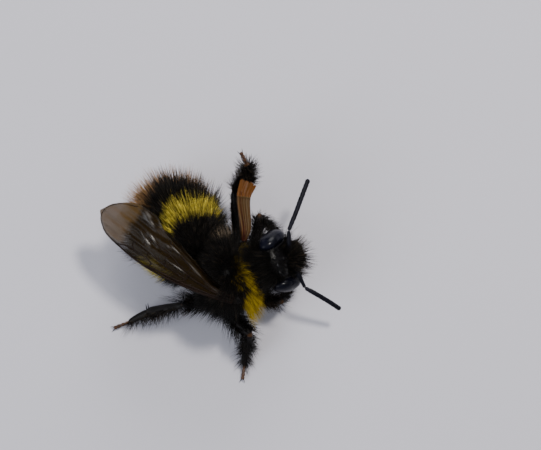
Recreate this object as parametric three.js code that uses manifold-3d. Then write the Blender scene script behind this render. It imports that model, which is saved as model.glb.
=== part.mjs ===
// A life-size bumblebee queen, curled to the left with one middle leg raised.
// Millimetres, +Z up, the floor at Z = 0. The thorax faces +X and its left side is +Y.
// The furred parts are modelled out to the tips of the coat.
import * as THREE from "three";
import { mergeVertices } from "three/addons/utils/BufferGeometryUtils.js";
import Module from "manifold-3d";

const wasm = await Module();
wasm.setup();

// ---------------------------------------------------------------- driving sizes

const GAP = 0.05; // clear space between neighbouring solids
const THORAX_HEIGHT = 6.2; // middle of the thorax above the floor
const THORAX_LENGTH = 7.0;
const THORAX_WIDTH = 8.0;
const THORAX_DEPTH = 7.2;
const ABDOMEN_WIDTH = 9.4;
const ABDOMEN_DEPTH = 8.5;
const ABDOMEN_WIDEST = 0.5; // how far along it is widest
const EGG_POWER = 2.3; // 2 is an ellipse, and more is fuller
const HEAD_HEIGHT = 5.2; // crown to jaw
const HEAD_WIDTH = 6.2; // over the eyes
const HEAD_TURN = 12; // degrees to the left
const HEAD_LIFT = 35; // degrees up
const HEAD_LEAN = 20; // degrees over to the right
const HINDWING_LENGTH = 11.4;
const WING_THICKNESS = 0.5;
const WING_CAMBER = 0.03; // how fast a wing falls away to its edges, per mm
const LIMB_SIDES = 8;
const LIMB_RINGS = 5;

const deg = THREE.MathUtils.degToRad;
const point = (x, y, z) => new THREE.Vector3(x, y, z);
const UP = point(0, 0, 1);
const FORWARD = point(1, 0, 0);

// ---------------------------------------------------------------- finishes

function finish(color, roughness) {
  return new THREE.MeshStandardMaterial({ color, roughness, metalness: 0 });
}
const COAT_BLACK = finish(0x14110f, 0.95);
const COAT_YELLOW = finish(0xc79a12, 0.95);
const COAT_BUFF = finish(0xb98f6a, 0.95);
const CUTICLE = finish(0x0d0b0b, 0.3);
const FOOT_BROWN = finish(0x4a2a16, 0.45);
const EYE = finish(0x0a0a12, 0.15);
const ANTENNA = finish(0x12101a, 0.5);
const WING = finish(0x6b5238, 0.3);
const WING_CRUMPLED = finish(0x8c4d1c, 0.4);

// ---------------------------------------------------------------- solids

// A closed geometry as a manifold, with its seams welded and its collapsed faces left out.
function solid(geometry) {
  const bare = geometry.index ? geometry.toNonIndexed() : geometry.clone();
  bare.deleteAttribute("normal");
  bare.deleteAttribute("uv");
  const welded = mergeVertices(bare, 1e-4);
  const corners = welded.index.array;
  const triangles = [];
  for (let i = 0; i < corners.length; i += 3) {
    const [a, b, c] = corners.slice(i, i + 3);
    if (a !== b && b !== c && c !== a) triangles.push(a, b, c);
  }
  return new wasm.Manifold(
    new wasm.Mesh({
      numProp: 3,
      vertProperties: new Float32Array(welded.attributes.position.array),
      triVerts: new Uint32Array(triangles),
    }),
  );
}

function geometryOf(made) {
  const mesh = made.getMesh();
  const places = new Float32Array(mesh.numVert * 3);
  for (let i = 0; i < mesh.numVert; i += 1) {
    const start = i * mesh.numProp;
    places.set(mesh.vertProperties.subarray(start, start + 3), i * 3);
  }
  const geometry = new THREE.BufferGeometry();
  geometry.setAttribute("position", new THREE.BufferAttribute(places, 3));
  geometry.setIndex(new THREE.BufferAttribute(new Uint32Array(mesh.triVerts), 1));
  return geometry;
}

// A form is a solid together with the room it needs: the same shape, grown by the gap.
const form = (make) => ({ body: solid(make(0)), room: solid(make(GAP)) });

const cutBy = (made, ...others) => others.reduce((left, other) => left.subtract(other.room), made);

// The main piece of a solid that a cut has left in pieces.
const mainPiece = (made) => made.decompose().sort((a, b) => b.volume() - a.volume())[0];

// A cylinder drawn out along a curve. section(t) gives its half width and half height there,
// and blunt makes its cross-section squarer.
function drawnOut(curve, section, options) {
  const { sides, rings, up = UP, grow = 0, from = 0, to = 1, blunt = 1 } = options;
  const whole = from === 0 && to === 1;
  const geometry = new THREE.CylinderGeometry(1, 1, 1, sides, rings);
  const places = geometry.attributes.position;
  const squarer = (value) => Math.sign(value) * Math.abs(value) ** blunt;
  for (let i = 0; i < places.count; i += 1) {
    const along = 0.5 - places.getY(i);
    const eased = whole ? (1 - Math.cos(Math.PI * along)) / 2 : from + (to - from) * along;
    const t = THREE.MathUtils.clamp(eased, 0, 1);
    const tangent = curve.getTangent(t);
    const side = new THREE.Vector3().crossVectors(up, tangent).normalize();
    const rise = new THREE.Vector3().crossVectors(tangent, side);
    const [halfWidth, halfHeight] = section(t);
    const place = curve.getPoint(t);
    if (whole) place.addScaledVector(tangent, grow * (2 * along - 1));
    place.addScaledVector(side, squarer(places.getX(i)) * (halfWidth + grow));
    place.addScaledVector(rise, squarer(places.getZ(i)) * (halfHeight + grow));
    places.setXYZ(i, place.x, place.y, place.z);
  }
  return geometry;
}

// 0 at both ends and 1 between them, rounder with a lower power.
const roundedEnds = (t, power) => Math.max(0, 1 - Math.abs(2 * t - 1) ** power) ** (1 / power);

// An egg's half width from 0 at its front end to 0 at its back end, 1 at its widest place.
function egg(t, widest, power) {
  const reach = t < widest ? widest : 1 - widest;
  return Math.max(0, 1 - (Math.abs(t - widest) / reach) ** power) ** (1 / power);
}

function ellipsoid(centre, radii, options) {
  const { turn = new THREE.Euler(), sides = 20, rings = 14, grow = 0 } = options;
  const geometry = new THREE.SphereGeometry(1, sides, rings);
  geometry.scale(radii[0] + grow, radii[1] + grow, radii[2] + grow);
  geometry.applyMatrix4(new THREE.Matrix4().makeRotationFromEuler(turn));
  geometry.translate(centre.x, centre.y, centre.z);
  return geometry;
}

// A box, turned about its middle, which is then set at the centre.
function box(size, centre, turn = new THREE.Euler(), grow = 0) {
  const geometry = new THREE.BoxGeometry(...size.map((edge) => edge + 2 * grow));
  geometry.applyMatrix4(new THREE.Matrix4().makeRotationFromEuler(turn));
  geometry.translate(centre.x, centre.y, centre.z);
  return geometry;
}

const bee = new THREE.Group();
const FLOOR = solid(box([60, 60, 10], point(0, 0, -5)));

function add(name, made, material) {
  const mesh = new THREE.Mesh(geometryOf(mainPiece(made.subtract(FLOOR))), material);
  mesh.name = name;
  bee.add(mesh);
}

// ---------------------------------------------------------------- legs

// Each leg is a chain of joints: hip, trochanter, knee, ankle, heel and toe.
const LEG_JOINTS = {
  fore_left: [
    [2.0, 1.2, 3.6], [2.5, 2.6, 3.4], [3.0, 6.0, 5.0],
    [4.5, 4.9, 2.6], [5.2, 4.2, 1.0], [6.0, 2.9, 0.22],
  ],
  fore_right: [
    [2.0, -1.2, 3.6], [2.6, -1.9, 2.7], [5.3, -2.6, 3.5],
    [6.0, -0.7, 1.5], [6.4, 0.3, 0.7], [6.7, 1.6, 0.22],
  ],
  middle_left: [
    [0.4, 1.8, 3.6], [0.7, 3.7, 4.5], [0.45, 8.4, 5.8],
    [2.0, 9.5, 8.6], [1.8, 10.1, 10.3], [1.2, 11.1, 11.7],
  ],
  middle_right: [
    [0.2, -1.6, 3.5], [-0.2, -3.1, 2.8], [2.1, -6.0, 3.6],
    [1.65, -7.2, 1.0], [1.5, -8.6, 0.45], [1.3, -10.2, 0.22],
  ],
  hind_left: [
    [-1.2, 1.2, 3.5], [-1.6, 2.4, 2.5], [-2.0, 5.4, 2.2],
    [-3.3, 8.4, 1.0], [-4.3, 9.5, 0.5], [-5.6, 9.9, 0.22],
  ],
  hind_right: [
    [-1.2, -1.2, 3.5], [-1.5, -2.3, 2.5], [-4.7, -3.05, 4.1],
    [-8.3, -3.2, 1.5], [-10.3, -4.1, 0.5], [-11.9, -4.9, 0.22],
  ],
};

// Half width at the start and the end of each length of leg, and how flat it is, by pair of legs.
// The raised leg is seen edge on above the knee and has its long hair below it.
const LEG_SIZES = {
  fore: {
    coxa: [0.7, 0.6],
    femur: [0.6, 0.42],
    tibia: [0.38, 0.48],
    basitarsus: [0.34, 0.3],
    flat: 0.85,
  },
  middle: {
    coxa: [0.75, 0.65],
    femur: [0.72, 0.5],
    tibia: [0.42, 0.62],
    basitarsus: [0.42, 0.34],
    flat: 0.75,
  },
  middle_left: {
    coxa: [0.6, 0.5],
    femur: [0.42, 0.36],
    tibia: [0.5, 0.8],
    basitarsus: [0.6, 0.4],
    flat: 0.8,
  },
  hind: {
    coxa: [0.8, 0.7],
    femur: [0.7, 0.45],
    tibia: [0.45, 0.95],
    basitarsus: [0.7, 0.5],
    flat: 0.5,
  },
};
const JOINT_OVERLAP = 0.22; // how far each length of leg reaches past its joints
const TARSUS_RADIUS = 0.27;
const LEAST_LIMB_RADIUS = 0.26;

// A straight line between two joints that runs a little past them both.
function reach(start, end) {
  const [from, to] = [point(...start), point(...end)];
  const past = to.clone().sub(from).setLength(JOINT_OVERLAP);
  return new THREE.LineCurve3(from.sub(past), to.add(past));
}

const limb = (curve, section, rings) => (
  form((grow) => drawnOut(curve, section, { sides: LIMB_SIDES, rings, grow }))
);

function legLength(start, end, [first, last], flat, swell = 0) {
  const section = (t) => {
    const half = (first + (last - first) * t + swell * Math.sin(Math.PI * t)) * roundedEnds(t, 5);
    return [half, Math.max(half * flat, Math.min(half, LEAST_LIMB_RADIUS))];
  };
  return limb(reach(start, end), section, LIMB_RINGS);
}

// The last joints of a foot, widening towards the claws.
function tarsus(start, end) {
  const section = (t) => {
    const half = TARSUS_RADIUS * (0.85 + 0.4 * t) * roundedEnds(t, 6);
    return [half * 1.15, half];
  };
  return limb(reach(start, end), section, LIMB_RINGS);
}

function makeLeg(pairAndSide) {
  const [hip, trochanter, knee, ankle, heel, toe] = LEG_JOINTS[pairAndSide];
  const sizes = LEG_SIZES[pairAndSide] ?? LEG_SIZES[pairAndSide.split("_")[0]];
  const coxa = legLength(hip, trochanter, sizes.coxa, 0.9);
  const femur = legLength(trochanter, knee, sizes.femur, 0.85, 0.1);
  return {
    thigh: { body: coxa.body.add(femur.body), room: coxa.room.add(femur.room) },
    tibia: legLength(knee, ankle, sizes.tibia, sizes.flat),
    basitarsus: legLength(ankle, heel, sizes.basitarsus, sizes.flat),
    tarsus: tarsus(heel, toe),
  };
}

const legs = Object.fromEntries(Object.keys(LEG_JOINTS).map((name) => [name, makeLeg(name)]));

// ---------------------------------------------------------------- thorax

const THORAX_CENTRE = point(-0.3, 0, THORAX_HEIGHT);

// An ellipsoid with square shoulders, a little narrower in front, and with the scutellum's
// swell high at the back.
const SHOULDER_POWER = 2.4;
function thoraxShape(grow) {
  const geometry = ellipsoid(
    point(0, 0, 0),
    [THORAX_LENGTH / 2, THORAX_WIDTH / 2, THORAX_DEPTH / 2],
    { sides: 20, rings: 12, grow },
  );
  const places = geometry.attributes.position;
  for (let i = 0; i < places.count; i += 1) {
    const [x, y, z] = [places.getX(i), places.getY(i), places.getZ(i)];
    const bearing = Math.atan2(y / THORAX_WIDTH, x / THORAX_LENGTH);
    const [ahead, aside] = [Math.abs(Math.cos(bearing)), Math.abs(Math.sin(bearing))];
    const squarer = (ahead ** SHOULDER_POWER + aside ** SHOULDER_POWER) ** (-1 / SHOULDER_POWER);
    const fore = (2 * x) / THORAX_LENGTH;
    const narrowing = 1 - 0.06 * Math.max(0, fore) ** 2;
    const swell = 1 + 0.05 * Math.max(0, -fore) * Math.max(0, z / THORAX_DEPTH);
    places.setXYZ(i, x * squarer * swell, y * squarer * narrowing, z * swell);
  }
  geometry.translate(...THORAX_CENTRE.toArray());
  return geometry;
}
const thorax = form(thoraxShape);

// The yellow collar: the upper front of the thorax, in front of a plane that leans back.
const COLLAR_BACK = point(0.85, 0, 9.2); // on the plane, near the top of the thorax
const COLLAR_TURN = 9; // degrees to the left
const COLLAR_LEAN = 20; // degrees back
const ZONE = 12; // the edge of a block that is larger than the thorax
const collarTurn = new THREE.Euler(0, deg(-COLLAR_LEAN), deg(COLLAR_TURN), "ZYX");
const collarMiddle = point(ZONE / 2, 0, 0).applyEuler(collarTurn).add(COLLAR_BACK);
const collarZone = form((grow) => box([ZONE, ZONE, ZONE], collarMiddle, collarTurn, grow));
// The collar's long hair stands out over the shoulders.
const collarTufts = [2.9, -3.2].map((y) => form((grow) => (
  ellipsoid(point(2.7, y, 5.9), [0.95, 1.3, 1.3], { sides: 10, rings: 6, grow })
)));

// ---------------------------------------------------------------- abdomen

// The abdomen is swung to the left and curls under, so that its tip is near the floor.
const abdomenAxis = new THREE.CatmullRomCurve3([
  point(-1.7, 0.2, 6.1),
  point(-4.1, 2.9, 5.25),
  point(-5.7, 5.9, 4.5),
  point(-6.45, 8.6, 2.4),
]);

function abdomenSection(t) {
  const size = egg(t, ABDOMEN_WIDEST, EGG_POWER);
  return [(size * ABDOMEN_WIDTH) / 2, (size * ABDOMEN_DEPTH) / 2];
}

// Each band of the coat by where it starts along the axis.
const ABDOMEN_BANDS = [
  ["abdomen_t1", 0, COAT_BLACK],
  ["abdomen_t2", 0.42, COAT_YELLOW],
  ["abdomen_t3", 0.64, COAT_BLACK],
  ["abdomen_t4", 0.75, COAT_BLACK],
  ["abdomen_tail", 0.84, COAT_BUFF],
];
const AXIS_LENGTH = abdomenAxis.getLength();

const abdomenWhole = form((grow) => (
  drawnOut(abdomenAxis, abdomenSection, { sides: 18, rings: 16, grow })
));

// The slice of the abdomen between two places along its axis, half a gap short of each.
function abdomenSlice(start, end) {
  const margin = GAP / 2 / AXIS_LENGTH;
  const wide = () => [ABDOMEN_WIDTH, ABDOMEN_WIDTH];
  const from = start === 0 ? -0.02 : start + margin;
  const to = end === 1 ? 1.02 : end - margin;
  return abdomenWhole.body.intersect(
    solid(drawnOut(abdomenAxis, wide, { sides: 4, rings: 6, from, to })),
  );
}

// ---------------------------------------------------------------- wings

// A wing is a plate drawn out from its hinge along an axis, between a leading and a trailing edge.
// Its edges are spline points: distance from the hinge as a share of the length, and offset in mm.
const FOREWING_EDGES = {
  leading: [
    [0, -0.5], [0.1, -0.95], [0.3, -1.5], [0.55, -1.85],
    [0.76, -1.65], [0.91, -1.15], [1, 0.35],
  ],
  trailing: [
    [0, 0.3], [0.16, 0.1], [0.36, 1.2], [0.55, 2.1],
    [0.68, 3.15], [0.82, 3.0], [0.94, 1.8], [1, 0.4],
  ],
};
const HINDWING_EDGES = {
  leading: [[0, -0.3], [0.3, -0.9], [0.7, -0.8], [0.92, 0.1], [1, 1.1]],
  trailing: [[0, 0.3], [0.25, 0.7], [0.5, 1.5], [0.75, 2.3], [0.93, 2.1], [1, 1.2]],
};

// The offset of an edge at a share of the wing's length, found on a spline through its points.
function edgeOffset(edge) {
  const corners = edge.map(([share, offset]) => new THREE.Vector2(share * 10, offset));
  const spline = new THREE.SplineCurve(corners);
  const samples = spline.getPoints(120);
  return (share) => {
    const found = samples.findIndex((sample) => sample.x >= share * 10 - 1e-6);
    const after = Math.max(1, found);
    const [a, b] = [samples[after - 1], samples[after]];
    const part = b.x === a.x ? 0 : (share * 10 - a.x) / (b.x - a.x);
    return a.y + (b.y - a.y) * THREE.MathUtils.clamp(part, 0, 1);
  };
}

// hinge and tip place the wing, chord is its direction from leading to trailing edge,
// and droop lowers it towards the tip.
function wing({ hinge, tip, chord, edges, droop, arch }) {
  const axis = tip.clone().sub(hinge).normalize();
  const across = chord.clone().addScaledVector(axis, -chord.dot(axis)).normalize();
  const normal = new THREE.Vector3().crossVectors(across, axis).normalize();
  if (normal.z < 0) normal.negate();
  const length = tip.distanceTo(hinge);
  const leading = edgeOffset(edges.leading);
  const trailing = edgeOffset(edges.trailing);
  const place = (share, offset) => hinge
    .clone()
    .addScaledVector(axis, share * length)
    .addScaledVector(across, offset)
    .addScaledVector(normal, arch * Math.sin(Math.PI * share) - droop * share ** 3)
    .addScaledVector(normal, -WING_CAMBER * offset ** 2);
  return form((grow) => {
    const geometry = new THREE.CylinderGeometry(1, 1, 1, 10, 12);
    const places = geometry.attributes.position;
    for (let i = 0; i < places.count; i += 1) {
      const share = (1 - Math.cos(Math.PI * (0.5 - places.getY(i)))) / 2;
      const middle = (leading(share) + trailing(share)) / 2;
      const half = Math.abs(trailing(share) - leading(share)) / 2;
      const x = places.getX(i);
      const z = places.getZ(i);
      const spread = Math.sign(x) * Math.abs(x) ** 0.8;
      const lift = Math.sign(z) * Math.abs(z) ** 0.35;
      const at = place(share, middle + spread * (half + grow));
      at.addScaledVector(normal, -lift * (WING_THICKNESS / 2 + grow));
      at.addScaledVector(axis, grow * (2 * share - 1));
      places.setXYZ(i, at.x, at.y, at.z);
    }
    return geometry;
  });
}

const RIGHT_HINGE = point(0.6, -3.0, 8.2);
const RIGHT_TIP = point(-13.25, 5.1, 9.2);
const RIGHT_CHORD = point(0.52, 0.79, 0.4);
const forewingRight = wing({
  hinge: RIGHT_HINGE,
  tip: RIGHT_TIP,
  chord: RIGHT_CHORD,
  edges: FOREWING_EDGES,
  droop: 1.6,
  arch: 0.35,
});
// The hindwing lies under the forewing, nearer to the body.
const HINDWING_SHIFT = point(-0.2, 0.3, -0.68);
const hindHinge = RIGHT_HINGE.clone().add(HINDWING_SHIFT);
const hindwingRight = wing({
  hinge: hindHinge,
  tip: hindHinge.clone().add(RIGHT_TIP.clone().sub(RIGHT_HINGE).setLength(HINDWING_LENGTH)),
  chord: RIGHT_CHORD,
  edges: HINDWING_EDGES,
  droop: 0.6,
  arch: 0.3,
});

// The left wings never unfolded: two pleated strips that stand out sideways and end raggedly.
const forewingLeftAxis = new THREE.CatmullRomCurve3([
  point(0.8, 2.9, 7.9),
  point(1.5, 3.9, 8.4),
  point(1.6, 6.4, 9.2),
  point(1.9, 8.6, 9.75),
]);
const hindwingLeftAxis = new THREE.CatmullRomCurve3([
  point(0.55, 2.9, 7.6),
  point(0.95, 4.0, 8.0),
  point(0.8, 6.2, 8.7),
  point(0.9, 7.8, 9.1),
]);
const PLEATS = 3;

function crumpledWing(axis, baseWidth, tipWidth, raggedness) {
  return form((grow) => {
    const geometry = drawnOut(
      axis,
      (t) => [(baseWidth + (tipWidth - baseWidth) * t ** 0.8) / 2, WING_THICKNESS / 2],
      { sides: 10, rings: 7, grow, blunt: 0.6, from: 0.001, to: 0.999 },
    );
    const places = geometry.attributes.position;
    const start = axis.getPoint(0);
    const reach = axis.getPoint(1).distanceTo(start);
    for (let i = 0; i < places.count; i += 1) {
      const at = new THREE.Vector3().fromBufferAttribute(places, i);
      const along = at.distanceTo(start) / reach;
      const pleat = Math.sin((at.x - start.x) * Math.PI * PLEATS) * 0.1 * along;
      const tear = along > 0.9 ? Math.sin(at.x * 9) * raggedness : 0;
      places.setXYZ(i, at.x, at.y + tear, at.z + pleat);
    }
    return geometry;
  });
}
const forewingLeft = crumpledWing(forewingLeftAxis, 0.8, 1.55, 0.16);
const hindwingLeft = crumpledWing(hindwingLeftAxis, 0.5, 0.8, 0.12);

// ---------------------------------------------------------------- head

const HEAD_CENTRE = point(5.15, 1.2, 5.6);
const headTurn = new THREE.Euler(deg(HEAD_LEAN), deg(-HEAD_LIFT), deg(HEAD_TURN), "ZYX");
const headPlace = new THREE.Matrix4().makeRotationFromEuler(headTurn).setPosition(HEAD_CENTRE);
const onHead = (geometry) => geometry.applyMatrix4(headPlace);
const headPoint = (x, y, z) => point(x, y, z).applyMatrix4(headPlace);

// The head from crown to jaw, in its own frame: face towards +X, left side +Y.
const headAxis = new THREE.CatmullRomCurve3([
  point(-0.45, 0, HEAD_HEIGHT * 0.5),
  point(-0.1, 0, HEAD_HEIGHT * 0.17),
  point(0.15, 0, -HEAD_HEIGHT * 0.17),
  point(0.35, 0, -HEAD_HEIGHT * 0.5),
]);

function headSection(t) {
  const ends = roundedEnds(t, 2.6);
  const jaw = 1 - 0.4 * THREE.MathUtils.smoothstep(t, 0.5, 1);
  return [0.43 * HEAD_WIDTH * ends * jaw, 1.65 * ends * (1 - 0.25 * t)];
}

const skull = form((grow) => onHead(
  drawnOut(headAxis, headSection, { sides: 16, rings: 9, up: FORWARD, grow }),
));

// The long hair that stands out from the face and the crown.
const tuft = (centre, radii) => form((grow) => onHead(
  ellipsoid(centre, radii, { sides: 12, rings: 8, grow }),
));
const faceTuft = tuft(point(1.5, 0, -0.1), [1.35, 1.4, 1.55]);
const crownTuft = tuft(point(-0.75, 0, 2.35), [1.35, 2.1, 1.5]);

const EYE_RADII = [0.95, 0.72, 1.5];
const eye = (side) => form((grow) => onHead(ellipsoid(
  point(0.15, side * (HEAD_WIDTH / 2 - EYE_RADII[1]), 0.25),
  EYE_RADII,
  { turn: new THREE.Euler(deg(side * 9), deg(-4), 0), sides: 12, rings: 8, grow },
)));
const eyes = { left: eye(1), right: eye(-1) };

function mandible(side) {
  const curve = new THREE.CatmullRomCurve3([
    headPoint(0.75, side * 1.05, -1.9),
    headPoint(1.05, side * 0.8, -2.6),
    headPoint(1.25, side * 0.32, -3.1),
  ]);
  const section = (t) => [0.42 * roundedEnds(t, 4) * (1 - 0.35 * t), 0.3 * roundedEnds(t, 4)];
  return form((grow) => drawnOut(curve, section, { sides: 8, rings: 5, grow, up: FORWARD }));
}
const mandibles = { left: mandible(1), right: mandible(-1) };

// ---------------------------------------------------------------- antennae

const ANTENNA_JOINTS = {
  left: {
    socket: headPoint(1.35, 0.5, 0.05),
    elbow: point(6.1, 3.95, 7.7),
    beyond: [point(6.6, 5.6, 7.5), point(7.35, 7.7, 7.0), point(7.95, 9.4, 6.4)],
  },
  right: {
    socket: headPoint(1.35, -0.5, 0.05),
    elbow: point(7.6, -1.5, 5.6),
    beyond: [point(8.6, -2.0, 5.2), point(9.9, -2.65, 4.4), point(11.2, -3.35, 3.4)],
  },
};

function makeAntenna(side) {
  const { socket, elbow, beyond } = ANTENNA_JOINTS[side];
  const scapeCurve = new THREE.LineCurve3(socket, elbow);
  const flagellumCurve = new THREE.CatmullRomCurve3([elbow, ...beyond]);
  const scapeSection = (t) => Array(2).fill(0.25 * roundedEnds(t, 6) * (1 + 0.15 * t));
  const flagellumSection = (t) => Array(2).fill((0.25 + 0.03 * t) * roundedEnds(t, 8));
  return {
    scape: limb(scapeCurve, scapeSection, LIMB_RINGS),
    flagellum: limb(flagellumCurve, flagellumSection, 10),
  };
}
const antennae = { left: makeAntenna("left"), right: makeAntenna("right") };

// ---------------------------------------------------------------- putting the bee together

const scapes = [antennae.left.scape, antennae.right.scape];

const collarFront = thorax.body.intersect(collarZone.body);
add("thorax", cutBy(thorax.body, collarZone, ...collarTufts), COAT_BLACK);
add("collar", collarTufts.reduce((made, tuftOf) => made.add(tuftOf.body), collarFront), COAT_YELLOW);

const nearAbdomen = ["hind_left", "hind_right"].flatMap((name) => Object.values(legs[name]));
ABDOMEN_BANDS.forEach(([name, start, material], i) => {
  const end = i + 1 < ABDOMEN_BANDS.length ? ABDOMEN_BANDS[i + 1][1] : 1;
  const slice = abdomenSlice(start, end);
  add(name, cutBy(slice, thorax, forewingRight, hindwingRight, ...nearAbdomen), material);
});

add("wing_fore_right", cutBy(forewingRight.body, thorax), WING);
add("wing_hind_right", cutBy(hindwingRight.body, thorax), WING);
add("wing_fore_left", cutBy(forewingLeft.body, thorax), WING_CRUMPLED);
add("wing_hind_left", cutBy(hindwingLeft.body, forewingLeft, thorax), WING_CRUMPLED);

const headWhole = skull.body.add(faceTuft.body).add(crownTuft.body);
const onFace = [eyes.left, eyes.right, mandibles.left, mandibles.right, ...scapes];
add("head", cutBy(headWhole, thorax, ...collarTufts, ...onFace), COAT_BLACK);
for (const side of ["left", "right"]) {
  add(`eye_${side}`, cutBy(eyes[side].body, thorax, ...collarTufts), EYE);
  add(`mandible_${side}`, mandibles[side].body, CUTICLE);
  add(`antenna_scape_${side}`, antennae[side].scape.body, ANTENNA);
  const flagellum = cutBy(antennae[side].flagellum.body, antennae[side].scape);
  add(`antenna_flagellum_${side}`, flagellum, ANTENNA);
}

for (const [name, leg] of Object.entries(legs)) {
  add(`leg_${name}_femur`, cutBy(leg.thigh.body, thorax, skull, ...collarTufts), COAT_BLACK);
  add(`leg_${name}_tibia`, cutBy(leg.tibia.body, leg.thigh, skull, forewingLeft), COAT_BLACK);
  add(`leg_${name}_basitarsus`, cutBy(leg.basitarsus.body, leg.tibia), COAT_BLACK);
  add(`leg_${name}_tarsus`, cutBy(leg.tarsus.body, leg.basitarsus), FOOT_BROWN);
}

// The origin is on the floor, under the middle of the whole bee.
const middle = new THREE.Box3().setFromObject(bee).getCenter(point(0, 0, 0));
bee.position.set(-middle.x, -middle.y, 0);

export default bee;
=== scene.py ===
"""A bumblebee queen as a still, life-size museum model: black coat, golden collar and band, buff tail.

Shapes are worked out in the bee's own millimetres (thorax facing +X, left side +Y, floor at Z = 0).
place() puts them in the model's frame, in metres.
"""

import math

import bmesh
import bpy
import numpy as np
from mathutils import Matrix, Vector, kdtree


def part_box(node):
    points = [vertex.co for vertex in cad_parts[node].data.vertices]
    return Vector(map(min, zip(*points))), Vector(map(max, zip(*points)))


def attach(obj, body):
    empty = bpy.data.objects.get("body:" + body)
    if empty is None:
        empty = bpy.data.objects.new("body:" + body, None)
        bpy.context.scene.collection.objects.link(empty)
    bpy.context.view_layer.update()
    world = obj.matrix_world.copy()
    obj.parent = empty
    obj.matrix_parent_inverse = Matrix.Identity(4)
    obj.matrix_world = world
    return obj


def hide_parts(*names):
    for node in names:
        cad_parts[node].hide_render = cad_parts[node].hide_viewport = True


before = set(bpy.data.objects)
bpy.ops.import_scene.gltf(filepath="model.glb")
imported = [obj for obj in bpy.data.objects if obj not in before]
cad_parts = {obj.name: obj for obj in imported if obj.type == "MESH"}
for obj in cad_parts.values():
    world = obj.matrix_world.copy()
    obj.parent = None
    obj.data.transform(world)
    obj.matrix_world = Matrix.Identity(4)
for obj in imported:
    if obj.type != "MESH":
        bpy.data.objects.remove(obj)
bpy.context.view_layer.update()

# ---------------------------------------------------------------- sizes, in millimetres

MM = 0.001
THORAX_HEIGHT = 6.2
THORAX_SIZE = np.array([7.0, 8.0, 7.2])
THORAX_CENTRE = np.array([-0.3, 0.0, THORAX_HEIGHT])
SHOULDER_POWER = 2.4
ABDOMEN_WIDTH = 9.4
ABDOMEN_DEPTH = 8.5
ABDOMEN_WIDEST = 0.5
EGG_POWER = 2.3
ABDOMEN_KNOTS = [(-1.7, 0.2, 6.1), (-4.1, 2.9, 5.25), (-5.7, 5.9, 4.5), (-6.45, 8.6, 2.4)]
WAIST = (-1.2, 0.6, 6.8)
HEAD_CENTRE = np.array([5.15, 1.2, 5.6])
HEAD_WIDTH = 6.2
HEAD_TURN, HEAD_LIFT, HEAD_LEAN = 9, 35, 20

# How far the skin lies inside the outline of the coat.
THORAX_COAT = 1.1
ABDOMEN_COAT = 1.2
SKULL_COAT = 0.25

# Where each band of the abdomen starts, as a share of the way along it.
BAND_START = 0.38
BAND_END = 0.56
TAIL_START = 0.76
BAND_SLANT = 0.14  # how much farther forward the bands are at the sides than on top
BAND_TWIST = 0.15  # and how much more so on the upper right

thorax_low, thorax_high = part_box("thorax")
THORAX_REAR = THORAX_CENTRE[0] - THORAX_SIZE[0] / 2
BEE_ORIGIN = np.array([
    thorax_low.x / MM - THORAX_REAR,
    (thorax_low.y + thorax_high.y) / 2 / MM,
    0.0,
])


def place(points):
    """Points in the bee's millimetres, as metres in the model's frame."""
    return (np.asarray(points, float) + BEE_ORIGIN) * MM


# ---------------------------------------------------------------- curves, turns and blends

def smooth_step(values, low, high):
    part = np.clip((np.asarray(values, float) - low) / (high - low), 0, 1)
    return part * part * (3 - 2 * part)


def unit(vectors):
    lengths = np.linalg.norm(vectors, axis=-1, keepdims=True)
    return vectors / np.maximum(lengths, 1e-9)


def turn(axis, degrees):
    """The matrix of a turn about X, Y or Z."""
    c = math.cos(math.radians(degrees))
    s = math.sin(math.radians(degrees))
    return np.array({
        "X": [[1, 0, 0], [0, c, -s], [0, s, c]],
        "Y": [[c, 0, s], [0, 1, 0], [-s, 0, c]],
        "Z": [[c, -s, 0], [s, c, 0], [0, 0, 1]],
    }[axis])


def along_curve(knots, shares):
    """Points of the centripetal Catmull-Rom curve through the knots, each knot an equal share apart."""
    knots = np.asarray(knots, float)
    ends = np.vstack([2 * knots[0] - knots[1], knots, 2 * knots[-1] - knots[-2]])
    stretch = np.clip(shares, 0, 1) * (len(knots) - 1)
    first = np.minimum(stretch.astype(int), len(knots) - 2)
    w = (stretch - first)[:, None]
    a, b, c, d = (ends[first + i] for i in range(4))
    ab, bc, cd = (np.sqrt(np.linalg.norm(q - p, axis=1, keepdims=True)) for p, q in ((a, b), (b, c), (c, d)))
    start_pull = ((b - a) / ab - (c - a) / (ab + bc) + (c - b) / bc) * bc
    end_pull = ((c - b) / bc - (d - b) / (bc + cd) + (d - c) / cd) * bc
    squared = -3 * b + 3 * c - 2 * start_pull - end_pull
    cubed = 2 * b - 2 * c + start_pull + end_pull
    return b + start_pull * w + squared * w ** 2 + cubed * w ** 3


def frames_along(centres, up):
    """The direction of a path at each of its points, with the side and rise across it."""
    ahead = unit(np.gradient(centres, axis=0))
    side = unit(np.cross(np.asarray(up, float), ahead))
    return ahead, side, np.cross(ahead, side)


def rounded_ends(t, power):
    return np.maximum(0, 1 - np.abs(2 * t - 1) ** power) ** (1 / power)


def egg(t, widest, power):
    reach = np.where(t < widest, widest, 1 - widest)
    return np.maximum(0, 1 - (np.abs(t - widest) / reach) ** power) ** (1 / power)


def eased(count):
    """Shares from 0 to 1 that lie closer together near both ends."""
    return (1 - np.cos(np.pi * np.linspace(0, 1, count))) / 2


def rings_along(centres, half_widths, half_heights, sides, up=(0, 0, 1)):
    """Oval rings round a path, as an array of rings, sides and coordinates."""
    _, side, rise = frames_along(centres, up)
    angles = np.linspace(0, 2 * np.pi, sides, endpoint=False)
    across = np.cos(angles)[None, :, None] * np.asarray(half_widths, float)[:, None, None]
    upward = np.sin(angles)[None, :, None] * np.asarray(half_heights, float)[:, None, None]
    return centres[:, None] + side[:, None] * across + rise[:, None] * upward


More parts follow.
